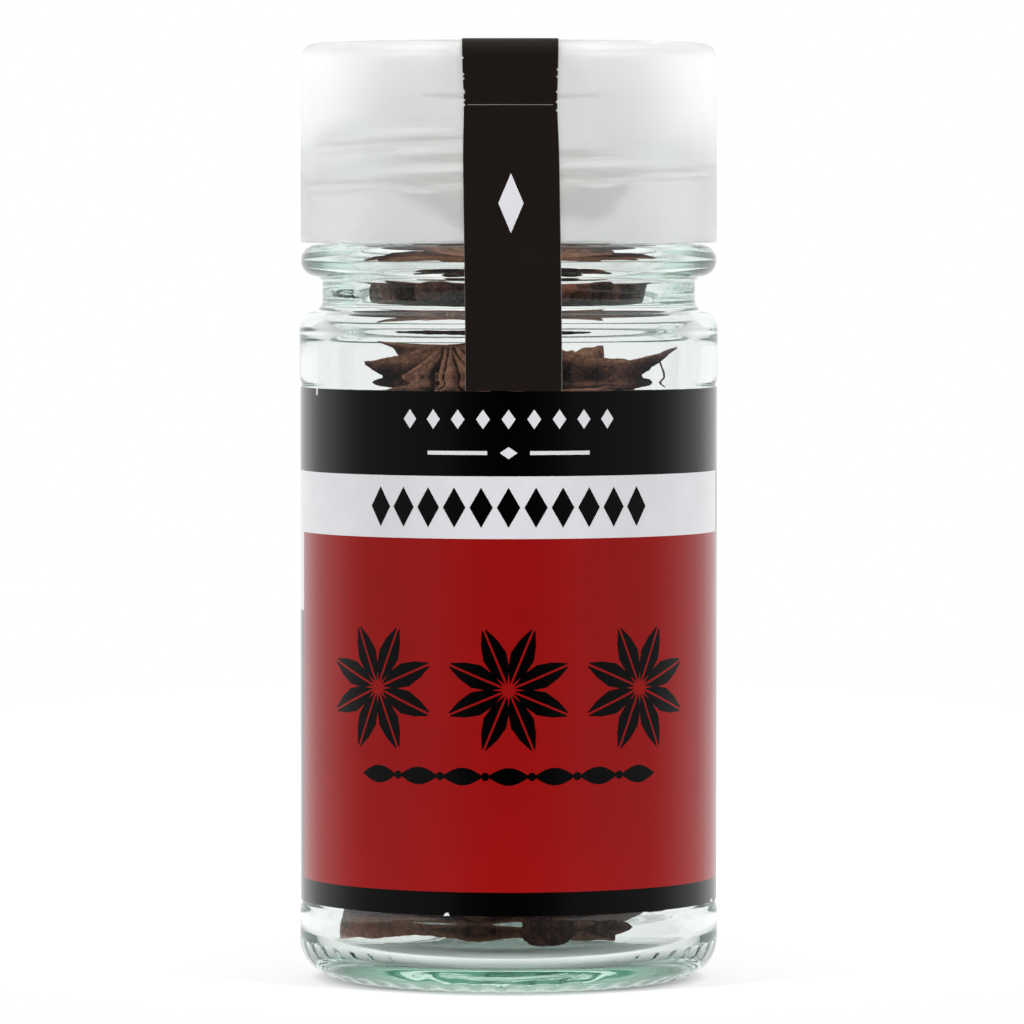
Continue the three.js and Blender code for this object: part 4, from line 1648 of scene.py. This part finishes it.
@dataclass
class Studio:
    """A white sweep with soft light from all sides but the camera's, and the camera itself.

    Attributes:
        distance: from the camera to the point that it looks at, in mm.
        aim_height: that point's height, in mm.
        aim_side: that point's place along X, in mm.
        pitch: how far the camera looks down, in degrees.
        lens: focal length in mm.
        walls: brightness of the cove at eye height, from the camera's side to behind the jar.
        ceiling: brightness overhead.
        ceiling_edge: the walls pass into the ceiling between these shares of straight up.
        lamp_place: where the right lamp is, in metres; the left one mirrors it.
        lamp_size: side of each lamp, in metres.
        lamp_power: power of each lamp, in watts.
        floor_size: half widths of the floor along X and Y, in metres.
        floor_shift: how far its middle lies behind the jar, in metres.
        bounces: how often light may turn, high enough for glass behind glass.
    """

    distance: float = 809.0
    aim_height: float = 51.06
    aim_side: float = 0.363
    pitch: float = 2.345
    lens: float = 258.4
    walls: tuple[tuple[float, float], ...] = (
        (0.0, 0.0), (0.04, 0.04), (0.1, 0.12), (0.3, 0.17), (0.46, 0.2), (0.56, 0.33), (0.68, 0.57),
        (0.82, 0.76), (0.9, 0.98), (1.0, 1.0),
    )
    ceiling: float = 0.8
    ceiling_edge: tuple[float, float] = (0.6, 0.85)
    lamp_place: tuple[float, float, float] = (0.85, -0.62, 0.72)
    lamp_size: float = 0.3
    lamp_power: float = 19.0
    floor_size: tuple[float, float] = (0.12, 0.285)
    floor_shift: float = 0.24
    bounces: int = 40

    def world(self) -> None:
        """Surrounds the jar with a white cove, dim towards the camera's side and bright overhead."""
        world = bpy.data.worlds.new("studio")
        bpy.context.scene.world = world
        world.use_nodes = True
        tree = world.node_tree
        tree.nodes.clear()

        def made(kind: str, **values: float) -> bpy.types.Node:
            """Adds a node with those input values."""
            node = tree.nodes.new("ShaderNode" + kind)
            for name, value in values.items():
                node.inputs[name.replace("_", " ")].default_value = value
            return node

        split = made("SeparateXYZ")
        tree.links.new(made("TexCoord").outputs["Generated"], split.inputs[0])
        along = made("MapRange", From_Min=-1.0, From_Max=1.0)
        tree.links.new(split.outputs["Y"], along.inputs["Value"])
        walls = made("ValToRGB")
        elements = walls.color_ramp.elements
        for i, (place, bright) in enumerate(self.walls):
            element = elements[i] if i < 2 else elements.new(place)
            element.position = place
            element.color = (bright, bright, bright, 1.0)
        tree.links.new(along.outputs["Result"], walls.inputs["Fac"])
        up = made("MapRange", From_Min=self.ceiling_edge[0], From_Max=self.ceiling_edge[1])
        up.interpolation_type = "SMOOTHSTEP"
        tree.links.new(split.outputs["Z"], up.inputs["Value"])
        light = walls.outputs["Color"]
        for share, bright in ((up.outputs["Result"], self.ceiling),
                              (made("LightPath").outputs["Is Camera Ray"], 1.0)):
            blend = tree.nodes.new("ShaderNodeMix")
            blend.data_type = "RGBA"
            tree.links.new(share, blend.inputs[0])
            tree.links.new(light, blend.inputs[6])
            blend.inputs[7].default_value = (bright, bright, bright, 1.0)
            light = blend.outputs[2]
        background = made("Background")
        tree.links.new(light, background.inputs["Color"])
        output = tree.nodes.new("ShaderNodeOutputWorld")
        tree.links.new(background.outputs["Background"], output.inputs["Surface"])

    def lamp(self, name: str, place: Sequence[float], size: float, power: float) -> None:
        """Adds a large square lamp that looks at the middle of the jar.

        Args:
            name: its name.
            place: where it is, in metres.
            size: its side in metres.
            power: its power in watts.
        """
        data = bpy.data.lights.new(name, "AREA")
        data.shape = "SQUARE"
        data.size = size
        data.energy = power
        made = bpy.data.objects.new(name, data)
        made.location = place
        made.visible_glossy = False
        made.visible_transmission = False
        made.rotation_euler = (Vector((0, 0, 0.05)) - Vector(place)).to_track_quat("-Z", "Y").to_euler()
        bpy.context.scene.collection.objects.link(made)

    def floor(self) -> None:
        """Lays the pale oval floor."""
        mesh = bpy.data.meshes.new("floor")
        sides = 96
        turns = [2 * math.pi * k / sides for k in range(sides)]
        rim = [(self.floor_size[0] * math.cos(a), self.floor_size[1] * math.sin(a) + self.floor_shift, 0.0)
               for a in turns]
        mesh.from_pydata(rim, [], [tuple(range(sides))])
        mesh.materials.append(FloorFinish().build("pale_floor"))
        made = bpy.data.objects.new("floor", mesh)
        made.location = (0.0, 0.0, -0.0002)
        made.visible_glossy = False
        bpy.context.scene.collection.objects.link(made)

    def camera(self) -> None:
        """Sets the camera, a little above the jar's middle and looking slightly down."""
        data = bpy.data.cameras.new("camera")
        data.sensor_width = 36.0
        data.lens = self.lens
        data.clip_end = 50.0
        made = bpy.data.objects.new("camera", data)
        pitch = math.radians(self.pitch)
        made.location = Vector((self.aim_side, -self.distance * math.cos(pitch),
                                self.aim_height + self.distance * math.sin(pitch))) * MM
        made.rotation_euler = (math.radians(90.0) - pitch, 0.0, 0.0)
        bpy.context.scene.collection.objects.link(made)
        bpy.context.scene.camera = made

    def build(self) -> None:
        """Sets the whole studio up."""
        scene = bpy.context.scene
        scene.view_settings.view_transform = "Standard"
        scene.cycles.max_bounces = self.bounces
        scene.cycles.transmission_bounces = self.bounces
        scene.cycles.glossy_bounces = self.bounces
        scene.cycles.transparent_max_bounces = self.bounces
        self.world()
        across, ahead, up = self.lamp_place
        for name, side in (("left", -1), ("right", 1)):
            self.lamp(name, (side * across, ahead, up), self.lamp_size, self.lamp_power)
        self.floor()
        self.camera()


def main() -> None:
    """Builds every sub-assembly in order."""
    logging.basicConfig(level=logging.INFO, format="%(name)s %(message)s")
    Studio().build()
    inks = {ink: ink.build() for ink in Ink}
    jar = GlassJar()
    pieces = [jar.build(), ScrewCap().build()]
    pieces += WrapLabel().build(inks)
    pieces += SealStrip().build(inks)
    pieces += Heap(jar).build()
    for made in pieces:
        LOG.info("built %s", made.name)


if __name__ == "__main__":
    main()
